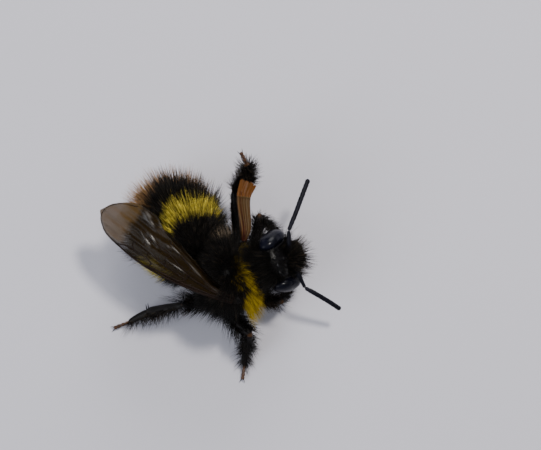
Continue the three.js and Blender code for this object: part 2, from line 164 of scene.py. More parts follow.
# ---------------------------------------------------------------- meshes

def closed_shell(rings):
    """Points and faces of a shell through rings of points, closed by a point in the middle of each end."""
    count, sides = rings.shape[:2]
    points = np.vstack([rings.reshape(-1, 3), rings[0].mean(0), rings[-1].mean(0)])
    start, end = count * sides, count * sides + 1
    faces = []
    for ring in range(count - 1):
        for i in range(sides):
            j = (i + 1) % sides
            faces.append((ring * sides + i, ring * sides + j, (ring + 1) * sides + j, (ring + 1) * sides + i))
    last = (count - 1) * sides
    for i in range(sides):
        j = (i + 1) % sides
        faces.append((start, j, i))
        faces.append((end, last + i, last + j))
    return points, faces


def joined(*shells):
    points = []
    faces = []
    total = 0
    for shell_points, shell_faces in shells:
        points.append(shell_points)
        faces += [tuple(total + corner for corner in face) for face in shell_faces]
        total += len(shell_points)
    return np.vstack(points), faces


def add_object(name, data):
    made = bpy.data.objects.new(name, data)
    bpy.context.scene.collection.objects.link(made)
    return made


def new_piece(name, shell, material=None, outward=True):
    """A piece of the model from a shell's points and faces, turned outwards unless it is still a sheet."""
    points, faces = shell
    mesh = bpy.data.meshes.new(name)
    mesh.from_pydata(place(points).tolist(), [], faces)
    piece = add_object(name, mesh)
    if outward:
        turn_outwards(mesh)
    mesh.shade_smooth()
    if material is not None:
        mesh.materials.append(material)
    return piece


def turn_outwards(mesh):
    work = bmesh.new()
    work.from_mesh(mesh)
    bmesh.ops.recalc_face_normals(work, faces=work.faces)
    work.to_mesh(mesh)
    work.free()


def settle(piece):
    """Turns a piece's modifiers into its plain mesh."""
    bpy.context.view_layer.update()
    graph = bpy.context.evaluated_depsgraph_get()
    plain = bpy.data.meshes.new_from_object(piece.evaluated_get(graph), depsgraph=graph)
    piece.modifiers.clear()
    piece.data = plain
    plain.name = piece.name
    return piece


def mount(piece, nodes=()):
    """Puts a finished piece on the bee's body in place of its solids."""
    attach(piece, "root")
    if nodes:
        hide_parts(*nodes)
    return piece


def grid_faces(rows, columns):
    """Four-sided faces between the points of a sheet, which run row by row."""
    faces = []
    for i in range(rows - 1):
        for j in range(columns - 1):
            a = i * columns + j
            faces.append((a, a + 1, a + columns + 1, a + columns))
    return faces


def thicken(sheet, thickness):
    """Turns an open sheet into a closed wall, half of it to each side. The thickness is in millimetres."""
    wall = sheet.modifiers.new("wall", "SOLIDIFY")
    wall.thickness = thickness * MM
    wall.offset = 0
    settle(sheet)
    turn_outwards(sheet.data)


def bee_points(mesh):
    """A mesh's points in the bee's millimetres."""
    places = np.zeros(len(mesh.vertices) * 3)
    mesh.vertices.foreach_get("co", places)
    return places.reshape(-1, 3) / MM - BEE_ORIGIN


def point_values(mesh, name, values):
    attribute = mesh.attributes.new(name, "FLOAT", "POINT")
    attribute.data.foreach_set("value", np.asarray(values, np.float32))


def point_colours(mesh, name, colours):
    attribute = mesh.attributes.new(name, "FLOAT_COLOR", "POINT")
    solid = np.ones((len(colours), 4), np.float32)
    solid[:, :3] = colours
    attribute.data.foreach_set("color", solid.ravel())


# ---------------------------------------------------------------- the forms of the body

HEAD_TO_BEE = turn("Z", HEAD_TURN) @ turn("Y", -HEAD_LIFT) @ turn("X", HEAD_LEAN)


def from_head(points):
    return np.asarray(points, float) @ HEAD_TO_BEE.T + HEAD_CENTRE


def to_head(points):
    return (np.asarray(points, float) - HEAD_CENTRE) @ HEAD_TO_BEE


def ball_rings(count, sides):
    """A unit ball with its poles on X, from front to rear."""
    polar = np.linspace(0, np.pi, count + 2)[1:-1]
    angles = np.linspace(0, 2 * np.pi, sides, endpoint=False)
    x = np.cos(polar)[:, None] * np.ones(sides)
    y = np.sin(polar)[:, None] * np.cos(angles)
    z = np.sin(polar)[:, None] * np.sin(angles)
    return np.stack([x, y, z], -1)


def thorax_rings(inset, count=44, sides=64):
    """An ellipsoid with square shoulders, narrower in front and swollen high at the back."""
    at = ball_rings(count, sides) * (THORAX_SIZE / 2 - inset)
    x, y, z = at[..., 0], at[..., 1], at[..., 2]
    bearing = np.arctan2(y / THORAX_SIZE[1], x / THORAX_SIZE[0])
    ahead = np.abs(np.cos(bearing)) ** SHOULDER_POWER
    aside = np.abs(np.sin(bearing)) ** SHOULDER_POWER
    squarer = (ahead + aside) ** (-1 / SHOULDER_POWER)
    fore = 2 * x / THORAX_SIZE[0]
    narrowing = 1 - 0.06 * np.maximum(0, fore) ** 2
    swell = 1 + 0.05 * np.maximum(0, -fore) * np.maximum(0, z / THORAX_SIZE[2])
    return np.stack([x * squarer * swell, y * squarer * narrowing, z * swell], -1) + THORAX_CENTRE


# Where the plates of the abdomen's back end, how high they stand there and how soon they fall away.
PLATE_EDGES = (0.37, 0.6, 0.73, 0.84, 0.93)
PLATE_STEP = 0.07
PLATE_FADE = 0.035


def abdomen_rings(inset, count=90, sides=72):
    """The curled abdomen, with a small step where each plate of its back overlaps the next."""
    t = eased(count)[1:-1]
    centres = along_curve(ABDOMEN_KNOTS, t)
    ahead, _, _ = frames_along(centres, (0, 0, 1))
    centres = centres - ahead * (inset * (2 * t - 1))[:, None]
    size = egg(t, ABDOMEN_WIDEST, EGG_POWER)
    plates = np.zeros_like(t)
    for edge in PLATE_EDGES:
        plates += np.where(t < edge, np.exp(-((t - edge) / PLATE_FADE) ** 2), 0) * PLATE_STEP
    narrowing = 1 - 0.1 * smooth_step(t, 0.5, 0.75)
    half_width = np.maximum(size * narrowing * ABDOMEN_WIDTH / 2 - inset + plates, 0.05)
    half_depth = np.maximum(size * ABDOMEN_DEPTH / 2 - inset + plates, 0.05)
    return rings_along(centres, half_width, half_depth, sides)


def skull_section(t, inset):
    ends = rounded_ends(t, 2.6)
    jaw = 1 - 0.4 * smooth_step(t, 0.5, 1)
    half_width = np.maximum(0.43 * HEAD_WIDTH * ends * jaw - inset, 0.03)
    half_depth = np.maximum(1.65 * ends * (1 - 0.25 * t) - inset, 0.03)
    return half_width, half_depth


SKULL_KNOTS = [(-0.45, 0, 2.6), (-0.1, 0, 0.884), (0.15, 0, -0.884), (0.35, 0, -2.6)]


def skull_rings(inset, count=52, sides=64):
    t = eased(count)[1:-1]
    centres = along_curve(SKULL_KNOTS, t)
    ahead, _, _ = frames_along(centres, (1, 0, 0))
    centres = centres - ahead * (inset * (2 * t - 1))[:, None]
    return from_head(rings_along(centres, *skull_section(t, inset), sides, (1, 0, 0)))


def lump(centre, radii, turned=None, count=18, sides=28):
    """An ellipsoid in the head's own frame."""
    at = ball_rings(count, sides) * radii
    if turned is not None:
        at = at @ turned.T
    return from_head(at + centre)


EYE_RADII = np.array([1.25, 0.85, 1.85])


def eye_place(side):
    """An eye's middle and turn in the head's frame. side is 1 for the left and -1 for the right."""
    centre = np.array([-0.05, side * (HEAD_WIDTH / 2 + 0.05 - EYE_RADII[1]), 0.32])
    return centre, turn("X", side * 9) @ turn("Y", -4)


def near_eye(head_points):
    """How far points of the head's frame are from the nearer eye: 1 is on its surface."""
    nearest = np.full(len(head_points), 9.0)
    for side in (1, -1):
        centre, turned = eye_place(side)
        local = (head_points - centre) @ turned / EYE_RADII
        nearest = np.minimum(nearest, np.linalg.norm(local, axis=1))
    return nearest


# ---------------------------------------------------------------- wings

class Wing:
    """A wing's surface: share runs from hinge to tip, and offset from the leading to the trailing edge."""

    def __init__(self, hinge, tip, chord, leading, trailing, droop, arch):
        self.hinge = np.array(hinge, float)
        reach = np.array(tip, float) - self.hinge
        self.length = np.linalg.norm(reach)
        self.axis = reach / self.length
        chord = np.array(chord, float)
        self.across = unit(chord - self.axis * chord.dot(self.axis))
        self.normal = unit(np.cross(self.across, self.axis))
        if self.normal[2] < 0:
            self.normal = -self.normal
        self.droop = droop
        self.arch = arch
        self.edges = [self.edge(leading), self.edge(trailing)]

    @staticmethod
    def edge(knots):
        knots = np.array([(share * 10, offset, 0) for share, offset in knots])
        line = along_curve(knots, np.linspace(0, 1, 200))
        return line[:, 0] / 10, line[:, 1]

    def width_at(self, share):
        return [np.interp(share, *edge) for edge in self.edges]

    def lift(self, share, offset):
        return self.arch * np.sin(np.pi * share) - self.droop * share ** 3 - 0.03 * offset ** 2

    def at(self, share, offset, height=0.0):
        share, offset = np.broadcast_arrays(np.asarray(share, float), np.asarray(offset, float))
        rise = self.lift(share, offset) + height
        return (self.hinge + self.axis * (share * self.length)[..., None]
                + self.across * offset[..., None] + self.normal * rise[..., None])

    def read(self, points):
        """The share and offset under points, and how high they are over the wing."""
        local = points - self.hinge
        share = local @ self.axis / self.length
        offset = local @ self.across
        return share, offset, local @ self.normal - self.lift(np.clip(share, 0, 1), offset)


RIGHT_HINGE = np.array([0.6, -3.0, 8.2])
RIGHT_TIP = np.array([-13.25, 5.1, 9.2])
RIGHT_CHORD = (0.52, 0.79, 0.4)
HIND_HINGE = RIGHT_HINGE + np.array([-0.2, 0.3, -0.68])
HIND_LENGTH = 11.4
forewing = Wing(
    RIGHT_HINGE, RIGHT_TIP, RIGHT_CHORD,
    [(0, -0.5), (0.1, -0.95), (0.3, -1.5), (0.55, -1.85), (0.76, -1.65), (0.91, -1.15), (1, 0.35)],
    [(0, 0.3), (0.16, 0.1), (0.36, 1.2), (0.55, 2.1), (0.68, 3.15), (0.82, 3.0), (0.94, 1.8), (1, 0.4)],
    droop=1.6, arch=0.35,
)
hindwing = Wing(
    HIND_HINGE, HIND_HINGE + unit(RIGHT_TIP - RIGHT_HINGE) * HIND_LENGTH, RIGHT_CHORD,
    [(0, -0.3), (0.3, -0.9), (0.7, -0.8), (0.92, 0.1), (1, 1.1)],
    [(0, 0.3), (0.25, 0.7), (0.5, 1.5), (0.75, 2.3), (0.93, 2.1), (1, 1.2)],
    droop=0.6, arch=0.3,
)


def press_under_wings(points, clearance, free_share=0.13):
    """Moves points that would stand through the folded wings down to just under them."""
    for wing in (forewing, hindwing):
        share, offset, height = wing.read(points)
        front, back = wing.width_at(np.clip(share, 0, 1))
        inside = (share > free_share) & (share < 1) & (offset > front - 0.15) & (offset < back + 0.15)
        push = np.where(inside & (height < 3), np.maximum(height + clearance, 0), 0)
        points = points - wing.normal * push[:, None]
    return points


# ---------------------------------------------------------------- shader groups

def shader_group(name, inputs, outputs):
    """A node group's tree, the outputs of its input node and its output node. Inputs have a value too."""
    group = bpy.data.node_groups.new(name, "ShaderNodeTree")
    for socket_name, kind, value in inputs:
        socket = group.interface.new_socket(socket_name, in_out="INPUT", socket_type=kind)
        socket.default_value = value
    for socket_name, kind in outputs:
        group.interface.new_socket(socket_name, in_out="OUTPUT", socket_type=kind)
    return group, group.nodes.new("NodeGroupInput").outputs, group.nodes.new("NodeGroupOutput")


def feed_socket(tree, socket, value):
    """Links a socket to another node's output, or gives it a plain value."""
    if hasattr(value, "links"):
        tree.links.new(value, socket)
    else:
        socket.default_value = value


def fill(tree, node, inputs):
    """Feeds a node's inputs, by name."""
    for name, value in inputs.items():
        feed_socket(tree, node.inputs[name.replace("_", " ")], value)
    return node


def add_node(tree, kind, **inputs):
    return fill(tree, tree.nodes.new(kind), inputs)


def math_node(tree, operation, first, second):
    node = tree.nodes.new("ShaderNodeMath")
    node.operation = operation
    for socket, value in zip(node.inputs, (first, second)):
        feed_socket(tree, socket, value)
    return node.outputs[0]


def add_noise(group, scale, detail=2.0):
    """Soft noise that is fixed to the piece."""
    place_on = add_node(group, "ShaderNodeTexCoord").outputs["Object"]
    return add_node(group, "ShaderNodeTexNoise", Vector=place_on, Scale=scale, Detail=detail).outputs["Fac"]


def make_mottle():
    """A colour made lighter and darker in soft patches."""
    group, given, result = shader_group(
        "mottle",
        [("Color", "NodeSocketColor", (0.5, 0.5, 0.5, 1)), ("Scale", "NodeSocketFloat", 1000.0),
         ("Dark", "NodeSocketFloat", 0.7), ("Light", "NodeSocketFloat", 1.3)],
        [("Color", "NodeSocketColor")],
    )
    patches = add_noise(group, given["Scale"], detail=4)
    spread = add_node(group, "ShaderNodeMapRange", Value=patches, From_Min=0.3, From_Max=0.7,
                      To_Min=given["Dark"], To_Max=given["Light"])
    scaled = group.nodes.new("ShaderNodeVectorMath")
    scaled.operation = "SCALE"
    group.links.new(given["Color"], scaled.inputs[0])
    fill(group, scaled, {"Scale": spread.outputs["Result"]})
    fill(group, result, {"Color": scaled.outputs["Vector"]})
    return group


def make_pitting():
    """The height of cuticle with fine pits and soft waves, and a roughness that follows the waves."""
    group, given, result = shader_group(
        "pitting",
        [("Pits", "NodeSocketFloat", 12000.0), ("Waves", "NodeSocketFloat", 2500.0),
         ("Smooth", "NodeSocketFloat", 0.2), ("Rough", "NodeSocketFloat", 0.4)],
        [("Height", "NodeSocketFloat"), ("Roughness", "NodeSocketFloat")],
    )
    place_on = add_node(group, "ShaderNodeTexCoord").outputs["Object"]
    pits = add_node(group, "ShaderNodeTexVoronoi", Vector=place_on, Scale=given["Pits"])
    waves = add_noise(group, given["Waves"], detail=5)
    depth = math_node(group, "MULTIPLY", pits.outputs["Distance"], 0.5)
    finish = add_node(group, "ShaderNodeMapRange", Value=waves, From_Min=0.3, From_Max=0.7,
                      To_Min=given["Smooth"], To_Max=given["Rough"])
    height = math_node(group, "ADD", depth, waves)
    fill(group, result, {"Height": height, "Roughness": finish.outputs["Result"]})
    return group


def make_stain():
    """One colour that gives way to another where a mask says so, with a mottled edge."""
    group, given, result = shader_group(
        "stain",
        [("Color", "NodeSocketColor", (0, 0, 0, 1)), ("Stain", "NodeSocketColor", (0.3, 0.1, 0.02, 1)),
         ("Mask", "NodeSocketFloat", 0.0), ("Scale", "NodeSocketFloat", 3000.0)],
        [("Color", "NodeSocketColor")],
    )
    edge = math_node(group, "ADD", given["Mask"], add_noise(group, given["Scale"]))
    spread = add_node(group, "ShaderNodeMapRange", Value=edge, From_Min=0.75, From_Max=1.25)
    mix = group.nodes.new("ShaderNodeMix")
    mix.data_type = "RGBA"
    fill(group, mix, {"Factor": spread.outputs["Result"], "A": given["Color"], "B": given["Stain"]})
    fill(group, result, {"Color": mix.outputs["Result"]})
    return group


MOTTLE = make_mottle()
PITTING = make_pitting()
STAIN = make_stain()


class Finish:
    """A material with one Principled shader, to which groups and attributes are added."""

    def __init__(self, name, **settings):
        self.material = bpy.data.materials.new(name)
        self.material.use_nodes = True
        self.tree = self.material.node_tree
        self.tree.nodes.clear()
        self.shader = add_node(self.tree, "ShaderNodeBsdfPrincipled", **settings)
        add_node(self.tree, "ShaderNodeOutputMaterial", Surface=self.shader.outputs["BSDF"])

    def attribute(self, name, output):
        node = self.tree.nodes.new("ShaderNodeAttribute")
        node.attribute_name = name
        return node.outputs[output]

    def group(self, group, **values):
        node = self.tree.nodes.new("ShaderNodeGroup")
        node.node_tree = group
        return fill(self.tree, node, values).outputs

    def feed(self, source, socket):
        self.tree.links.new(source, self.shader.inputs[socket])

    def bump(self, height, distance):
        node = add_node(self.tree, "ShaderNodeBump", Strength=1.0, Distance=distance * MM, Height=height)
        self.feed(node.outputs["Normal"], "Normal")


def hair_finish():
    made = Finish("bee_hair", Roughness=0.45, Specular_IOR_Level=0.1)
    tint = made.attribute("tint", "Color")
    made.feed(made.group(MOTTLE, Color=tint, Scale=1800.0, Dark=0.75, Light=1.3)["Color"], "Base Color")
    return made.material


def skin_finish():
    made = Finish("bee_skin", Specular_IOR_Level=0.2)
    tint = made.attribute("tint", "Color")
    pitting = made.group(PITTING, Pits=14000.0, Waves=2200.0, Smooth=0.42, Rough=0.6)
    made.feed(made.group(MOTTLE, Color=tint, Scale=900.0, Dark=0.7, Light=1.4)["Color"], "Base Color")
    bare = math_node(made.tree, "MULTIPLY", made.attribute("bare", "Fac"), 0.65)
    polish = math_node(made.tree, "SUBTRACT", 1.0, bare)
    made.feed(math_node(made.tree, "MULTIPLY", pitting["Roughness"], polish), "Roughness")
    made.bump(pitting["Height"], 0.018)
    return made.material


def cuticle_finish(name, colour, stain, smooth, rough, pits=16000.0, coat=0.04, shine=0.25):
    made = Finish(name, Coat_Weight=coat, Coat_Roughness=0.15, Specular_IOR_Level=shine)
    pitting = made.group(PITTING, Pits=pits, Waves=1800.0, Smooth=smooth, Rough=rough)
    mask = made.attribute("joint", "Fac")
    base = made.group(MOTTLE, Color=(*colour, 1), Scale=1500.0, Dark=0.6, Light=1.7)["Color"]
    made.feed(made.group(STAIN, Color=base, Stain=(*stain, 1), Mask=mask)["Color"], "Base Color")
    made.feed(pitting["Roughness"], "Roughness")
    made.bump(pitting["Height"], 0.02)
    return made.material


def eye_finish():
    made = Finish("bee_eye", Coat_Weight=0.1, Coat_Roughness=0.04, Specular_IOR_Level=0.07)
    # The base colour's faint blue is partly painted sheen, the blue reflection on the eyes, over their own
    # near-black.
    colour = made.group(MOTTLE, Color=(0.0022, 0.0024, 0.0055, 1), Scale=700.0, Dark=0.4, Light=2.0)
    made.feed(colour["Color"], "Base Color")
    facets = made.group(PITTING, Pits=34000.0, Waves=900.0, Smooth=0.22, Rough=0.34)
    made.feed(facets["Roughness"], "Roughness")
    made.bump(facets["Height"], 0.006)
    return made.material


def wing_finish(name, colour, stain, clear, smoked):
    """Smoky membrane. smoke says where it takes the stain, and goes from the alpha clear to smoked."""
    made = Finish(name, Specular_IOR_Level=0.1, Coat_Roughness=0.4)
    made.feed(made.attribute("crease", "Fac"), "Coat Weight")
    smoke = made.attribute("smoke", "Fac")
    ripples = made.group(PITTING, Pits=2600.0, Waves=700.0, Smooth=0.2, Rough=0.34)
    stained = made.group(STAIN, Color=(*colour, 1), Stain=(*stain, 1), Mask=smoke, Scale=900.0)["Color"]
    made.feed(stained, "Base Color")
    made.feed(ripples["Roughness"], "Roughness")
    thickness = add_node(made.tree, "ShaderNodeMapRange", Value=smoke, To_Min=clear, To_Max=smoked)
    made.feed(thickness.outputs["Result"], "Alpha")
    made.bump(ripples["Height"], 0.006)
    return made.material


HAIR = hair_finish()
SKIN = skin_finish()
BLACK = (0.006, 0.0055, 0.006)
AMBER = (0.17, 0.06, 0.012)
LEG_CUTICLE = cuticle_finish("leg_cuticle", (0.004, 0.0032, 0.003), (0.05, 0.022, 0.008),
                             0.26, 0.45, shine=0.12)
FOOT_CUTICLE = cuticle_finish("foot_cuticle", (0.045, 0.02, 0.009), AMBER, 0.3, 0.5)
FACE_PLATE = cuticle_finish("face_plate", BLACK, (0.03, 0.012, 0.006), 0.16, 0.3, 9000.0, 0.5)
HORN = cuticle_finish("jaw_horn", (0.0035, 0.0025, 0.002), (0.03, 0.011, 0.005),
                      0.26, 0.42, coat=0, shine=0.1)
FEELER = cuticle_finish("feeler_cuticle", (0.003, 0.003, 0.006), (0.03, 0.015, 0.01),
                        0.35, 0.5, 22000.0, 0.0, 0.1)
EYE = eye_finish()
WING_SHEET = wing_finish("wing_membrane", (0.065, 0.038, 0.014), (0.014, 0.0075, 0.0015), 0.74, 0.52)
WING_VEIN = cuticle_finish("wing_vein", (0.007, 0.003, 0.0015), (0.02, 0.007, 0.002),
                           0.3, 0.45, coat=0.0, shine=0.08)
STUB_SHEET = wing_finish("stub_membrane", (0.08, 0.047, 0.018), (0.098, 0.036, 0.008), 0.9, 0.97)
STUB_VEIN = cuticle_finish("stub_vein", (0.028, 0.006, 0.003), (0.07, 0.018, 0.005),
                           0.4, 0.5, coat=0.0, shine=0.1)


# ---------------------------------------------------------------- rods that follow a path

def rod_tree(name, with_joints):
    """Geometry Nodes that draw a round rod along each path, as thick as the path's half_width says.

    With joints, the rod is grooved between its segments, and each segment widens to its far end.
    """
    tree = bpy.data.node_groups.new(name, "GeometryNodeTree")
    tree.interface.new_socket("Geometry", in_out="INPUT", socket_type="NodeSocketGeometry")
    sizes = [("Sides", "NodeSocketInt", 8), ("Step", "NodeSocketFloat", 0.1 * MM)]
    if with_joints:
        sizes += [("Segments", "NodeSocketFloat", 10.0), ("Groove", "NodeSocketFloat", 0.2),
                  ("Flare", "NodeSocketFloat", 0.1)]
    for socket_name, kind, value in sizes:
        tree.interface.new_socket(socket_name, in_out="INPUT", socket_type=kind).default_value = value
    tree.interface.new_socket("Material", in_out="INPUT", socket_type="NodeSocketMaterial")
    tree.interface.new_socket("Geometry", in_out="OUTPUT", socket_type="NodeSocketGeometry")
    given = tree.nodes.new("NodeGroupInput").outputs
    path = add_node(tree, "GeometryNodeMeshToCurve", Mesh=given["Geometry"])
    points = tree.nodes.new("GeometryNodeResampleCurve")
    points.mode = "LENGTH"
    fill(tree, points, {"Curve": path.outputs["Curve"], "Length": given["Step"]})
    width = tree.nodes.new("GeometryNodeInputNamedAttribute")
    width.data_type = "FLOAT"
    width.inputs["Name"].default_value = "half_width"
    half_width = width.outputs["Attribute"]
    if with_joints:
        half_width = segment_widths(tree, given, half_width)
    thick = add_node(tree, "GeometryNodeSetCurveRadius", Curve=points.outputs["Curve"], Radius=half_width)
    outline = add_node(tree, "GeometryNodeCurvePrimitiveCircle", Resolution=given["Sides"], Radius=1.0)
    rod = add_node(tree, "GeometryNodeCurveToMesh", Curve=thick.outputs["Curve"],
                   Profile_Curve=outline.outputs["Curve"], Fill_Caps=True)
    if "Scale" in rod.inputs:
        fill(tree, rod, {"Scale": half_width})
    smooth = add_node(tree, "GeometryNodeSetShadeSmooth", Geometry=rod.outputs["Mesh"])
    real = add_node(tree, "GeometryNodeRealizeInstances", Geometry=smooth.outputs["Geometry"])
    finish = add_node(tree, "GeometryNodeSetMaterial", Geometry=real.outputs["Geometry"],
                      Material=given["Material"])
    add_node(tree, "NodeGroupOutput", Geometry=finish.outputs["Geometry"])
    return tree


def segment_widths(tree, given, half_width):
    """The rod's half width with a groove at each joint and a flare along each segment."""
    along = tree.nodes.new("GeometryNodeSplineParameter")
    counted = math_node(tree, "MULTIPLY", along.outputs["Factor"], given["Segments"])
    part = math_node(tree, "FRACT", counted, 0.0)
    from_middle = math_node(tree, "SUBTRACT", math_node(tree, "MULTIPLY", part, 2.0), 1.0)
    near_joint = math_node(tree, "POWER", math_node(tree, "ABSOLUTE", from_middle, 0.0), 5.0)
    groove = math_node(tree, "MULTIPLY", near_joint, given["Groove"])
    flare = math_node(tree, "MULTIPLY", math_node(tree, "SUBTRACT", part, 0.5), given["Flare"])
    shape = math_node(tree, "SUBTRACT", math_node(tree, "ADD", flare, 1.0), groove)
    return math_node(tree, "MULTIPLY", half_width, shape)


def domed(line, half_widths):
    """Half widths that close both ends of a path in a dome."""
    walked = np.append(0, np.cumsum(np.linalg.norm(np.diff(line, axis=0), axis=1)))
    from_end = np.minimum(walked, walked[-1] - walked) / half_widths
    return half_widths * np.sqrt(np.clip(1 - (1 - np.minimum(from_end, 1)) ** 2, 0.01, 1))


ROD = rod_tree("rod", False)
JOINTED_ROD = rod_tree("jointed_rod", True)


def run_tree(piece, tree, **values):
    """Runs a Geometry Nodes tree on a piece and keeps its result as a plain mesh."""
    modifier = piece.modifiers.new(tree.name, "NODES")
    modifier.node_group = tree
    for item in tree.interface.items_tree:
        if item.in_out == "INPUT" and item.name in values:
            modifier[item.identifier] = values[item.name]
    settle(piece)
    turn_outwards(piece.data)
    return piece


def rods(name, paths, material, tree=None, **values):
    """One piece made of rods along paths. Each path is (points, half widths), in millimetres."""
    points = []
    edges = []
    widths = []
    for line, half_widths in paths:
        start = len(points)
        points += list(place(line))
        widths += list(np.broadcast_to(np.asarray(half_widths, float) * MM, len(line)))
        edges += [(start + i, start + i + 1) for i in range(len(line) - 1)]
    mesh = bpy.data.meshes.new(name)
    mesh.from_pydata([tuple(point) for point in points], edges, [])
    point_values(mesh, "half_width", widths)
    return run_tree(add_object(name, mesh), tree or ROD, Material=material, **values)


# ---------------------------------------------------------------- hair

FLOOR_GAP = 0.05  # the least height of the hair's middle over the floor
BEND_HEIGHT = 0.3  # the height at which it starts to bend along the floor


def over_floor(heights):
    """Heights that would pass through the floor, bent to lie just over it."""
    room = BEND_HEIGHT - FLOOR_GAP
    bent = FLOOR_GAP + room * np.exp(np.minimum(heights - BEND_HEIGHT, 0) / room)
    return np.where(heights < BEND_HEIGHT, bent, heights)


class Coat:
    """Collects hairs and joins them into coat pieces. Each hair is a thin, closed, three-sided spike."""

    CORNERS = np.arange(3) * 2 * np.pi / 3
    LEVELS = np.array([0.0, 0.36, 0.7])
    TAPER = np.array([1.0, 0.85, 0.5])
    POINTS = 10  # three rings of three, and the tip

    def __init__(self):
        self.parts = []

    def add(self, roots, lean_in, lean_out, lengths, widths, root_tint, tip_tint, atlas, fit=None):
        """Hairs that leave their roots towards lean_in and end towards lean_out."""
        count = len(roots)
        steps = np.append(self.LEVELS, 1.0)
        bend = (lean_out - lean_in)[:, None] * (steps ** 2 / 2)[None, :, None]
        line = roots[:, None] + (lean_in[:, None] * steps[None, :, None] + bend) * lengths[:, None, None]
        if fit is not None:
            line = fit(line.reshape(-1, 3)).reshape(line.shape)
        line[..., 2] = over_floor(line[..., 2])
        across = unit(np.cross(lean_in, lean_out + 0.37 * np.roll(lean_in, 1, axis=1)))
        other = unit(np.cross(lean_in, across))
        ring = np.cos(self.CORNERS)[:, None] * across[:, None]
        ring = ring + np.sin(self.CORNERS)[:, None] * other[:, None]
        half = widths[:, None, None, None] / 2
        rings = line[:, :3, None] + ring[:, None] * half * self.TAPER[None, :, None, None]
        points = np.concatenate([rings.reshape(count, 9, 3), line[:, 3:]], axis=1)
        # Each hair darkens from tip to root: painted shade deep in the coat.
        fade = np.append(np.repeat(self.LEVELS, 3), 1.0)[None, :, None] ** 1.25
        tint = root_tint[:, None] * (1 - fade) + tip_tint[:, None] * fade
        patch = np.concatenate([np.tile([(0, 0), (0.0025, 0), (0.0012, 0.001)], (3, 1)), [(0.0012, 0.003)]])
        patch[3:6, 1] += 0.001
        patch[6:9, 1] += 0.002
        spot = atlas[:, None] + patch[None]
        self.parts.append((points, tint, spot))

    def hair_faces(self, count):
        """The corners of all the triangles of this many hairs."""
        triangles = [(0, 2, 1)]
        for low in (0, 3):
            for i in range(3):
                j = (i + 1) % 3
                triangles += [(low + i, low + j, low + 3 + j), (low + i, low + 3 + j, low + 3 + i)]
        triangles += [(6, 7, 9), (7, 8, 9), (8, 6, 9)]
        return (np.array(triangles)[None] + (np.arange(count) * self.POINTS)[:, None, None]).reshape(-1)

    def piece(self, name, slot):
        """The hairs collected so far as one piece, with their tints and places in the OFBake map."""
        points, tint, spots = (np.concatenate(kind) for kind in zip(*self.parts))
        corners = self.hair_faces(len(points))
        mesh = bpy.data.meshes.new(name)
        mesh.vertices.add(len(points) * self.POINTS)
        mesh.vertices.foreach_set("co", place(points.reshape(-1, 3)).astype(np.float32).ravel())
        mesh.loops.add(len(corners))
        mesh.loops.foreach_set("vertex_index", corners.astype(np.int32))
        mesh.polygons.add(len(corners) // 3)
        mesh.polygons.foreach_set("loop_start", np.arange(0, len(corners), 3, dtype=np.int32))
        mesh.update(calc_edges=True)
        mesh.shade_smooth()
        point_colours(mesh, "tint", tint.reshape(-1, 3))
        layer = mesh.uv_layers.new(name="OFBake")
        layer.uv.foreach_set("vector", spots.reshape(-1, 2)[corners].astype(np.float32).ravel())
        mesh.materials.append(HAIR)
        return mount(add_object(name, mesh))


def mesh_surface(mesh):
    """A mesh's triangles, as points in the bee's millimetres, with their corners' normals."""
    mesh.calc_loop_triangles()
    corners = np.zeros(len(mesh.loop_triangles) * 3, np.int32)
    mesh.loop_triangles.foreach_get("vertices", corners)
    normals = np.zeros(len(mesh.vertices) * 3)
    mesh.vertices.foreach_get("normal", normals)
    corners = corners.reshape(-1, 3)
    return bee_points(mesh)[corners], normals.reshape(-1, 3)[corners]


def scatter(surface, weight, count, rng):
    """Roots spread over a surface, denser where weight is greater, with their normals."""
    points, normals = surface
    areas = np.linalg.norm(np.cross(points[:, 1] - points[:, 0], points[:, 2] - points[:, 0]), axis=1)
    share = areas * weight(points.mean(1))
    total = np.cumsum(share)
    chosen = np.searchsorted(total, rng.random(count) * total[-1])
    a, b = rng.random(count), rng.random(count)
    over = a + b > 1
    a[over], b[over] = 1 - a[over], 1 - b[over]
    mix = np.stack([1 - a - b, a, b], 1)[..., None]
    return (points[chosen] * mix).sum(1), unit((normals[chosen] * mix).sum(1))


def gather(roots, directions, lengths, per_tuft, pull, rng):
    """Leans hairs together, so that neighbours meet in pointed tufts. Also tells each hair's tuft."""
    guides = rng.permutation(len(roots))[:max(8, len(roots) // per_tuft)]
    tree = kdtree.KDTree(len(guides))
    for number, guide in enumerate(guides):
        tree.insert(roots[guide], number)
    tree.balance()
    tuft = np.array([tree.find(root)[1] for root in roots])
    guide = guides[tuft]
    tips = roots + directions * lengths[:, None]
    aims = roots[guide] + directions[guide] * lengths[:, None]
    return unit(tips + (aims - tips) * pull[:, None] - roots), tuft


def grow(coat, roots, normals, lean_in, aim, length, tints, atlas, rng,
         per_tuft=14, pull=0.7, guard=0.3, width=0.062, short=0.5, middle=0.95, longest=1.35,
         contrast=0.35, fit=None):
    """Two layers of hair: a dense undercoat, and fewer but longer and straighter hairs over it."""
    count = len(roots)
    is_guard = rng.random(count) < guard
    guard_length = rng.uniform(middle, longest, count)
    lengths = length * np.where(is_guard, guard_length, rng.uniform(short, middle, count))
    together = pull * np.where(is_guard, 0.45, 1.0) * rng.uniform(0.5, 1.1, count)
    aim, tuft = gather(roots, aim, lengths, per_tuft, together, rng)
    brightness = rng.uniform(1 - contrast, 1 + contrast, tuft.max() + 1)[tuft][:, None]
    widths = width * np.where(is_guard, rng.uniform(0.7, 1.0, count), rng.uniform(0.8, 1.25, count))
    root_tint, tip_tint = tints
    coat.add(roots - normals * 0.05, lean_in, aim, lengths, widths,
             root_tint, tip_tint * brightness, np.clip(atlas, 0, 0.99), fit)
    return coat


# ---------------------------------------------------------------- markings

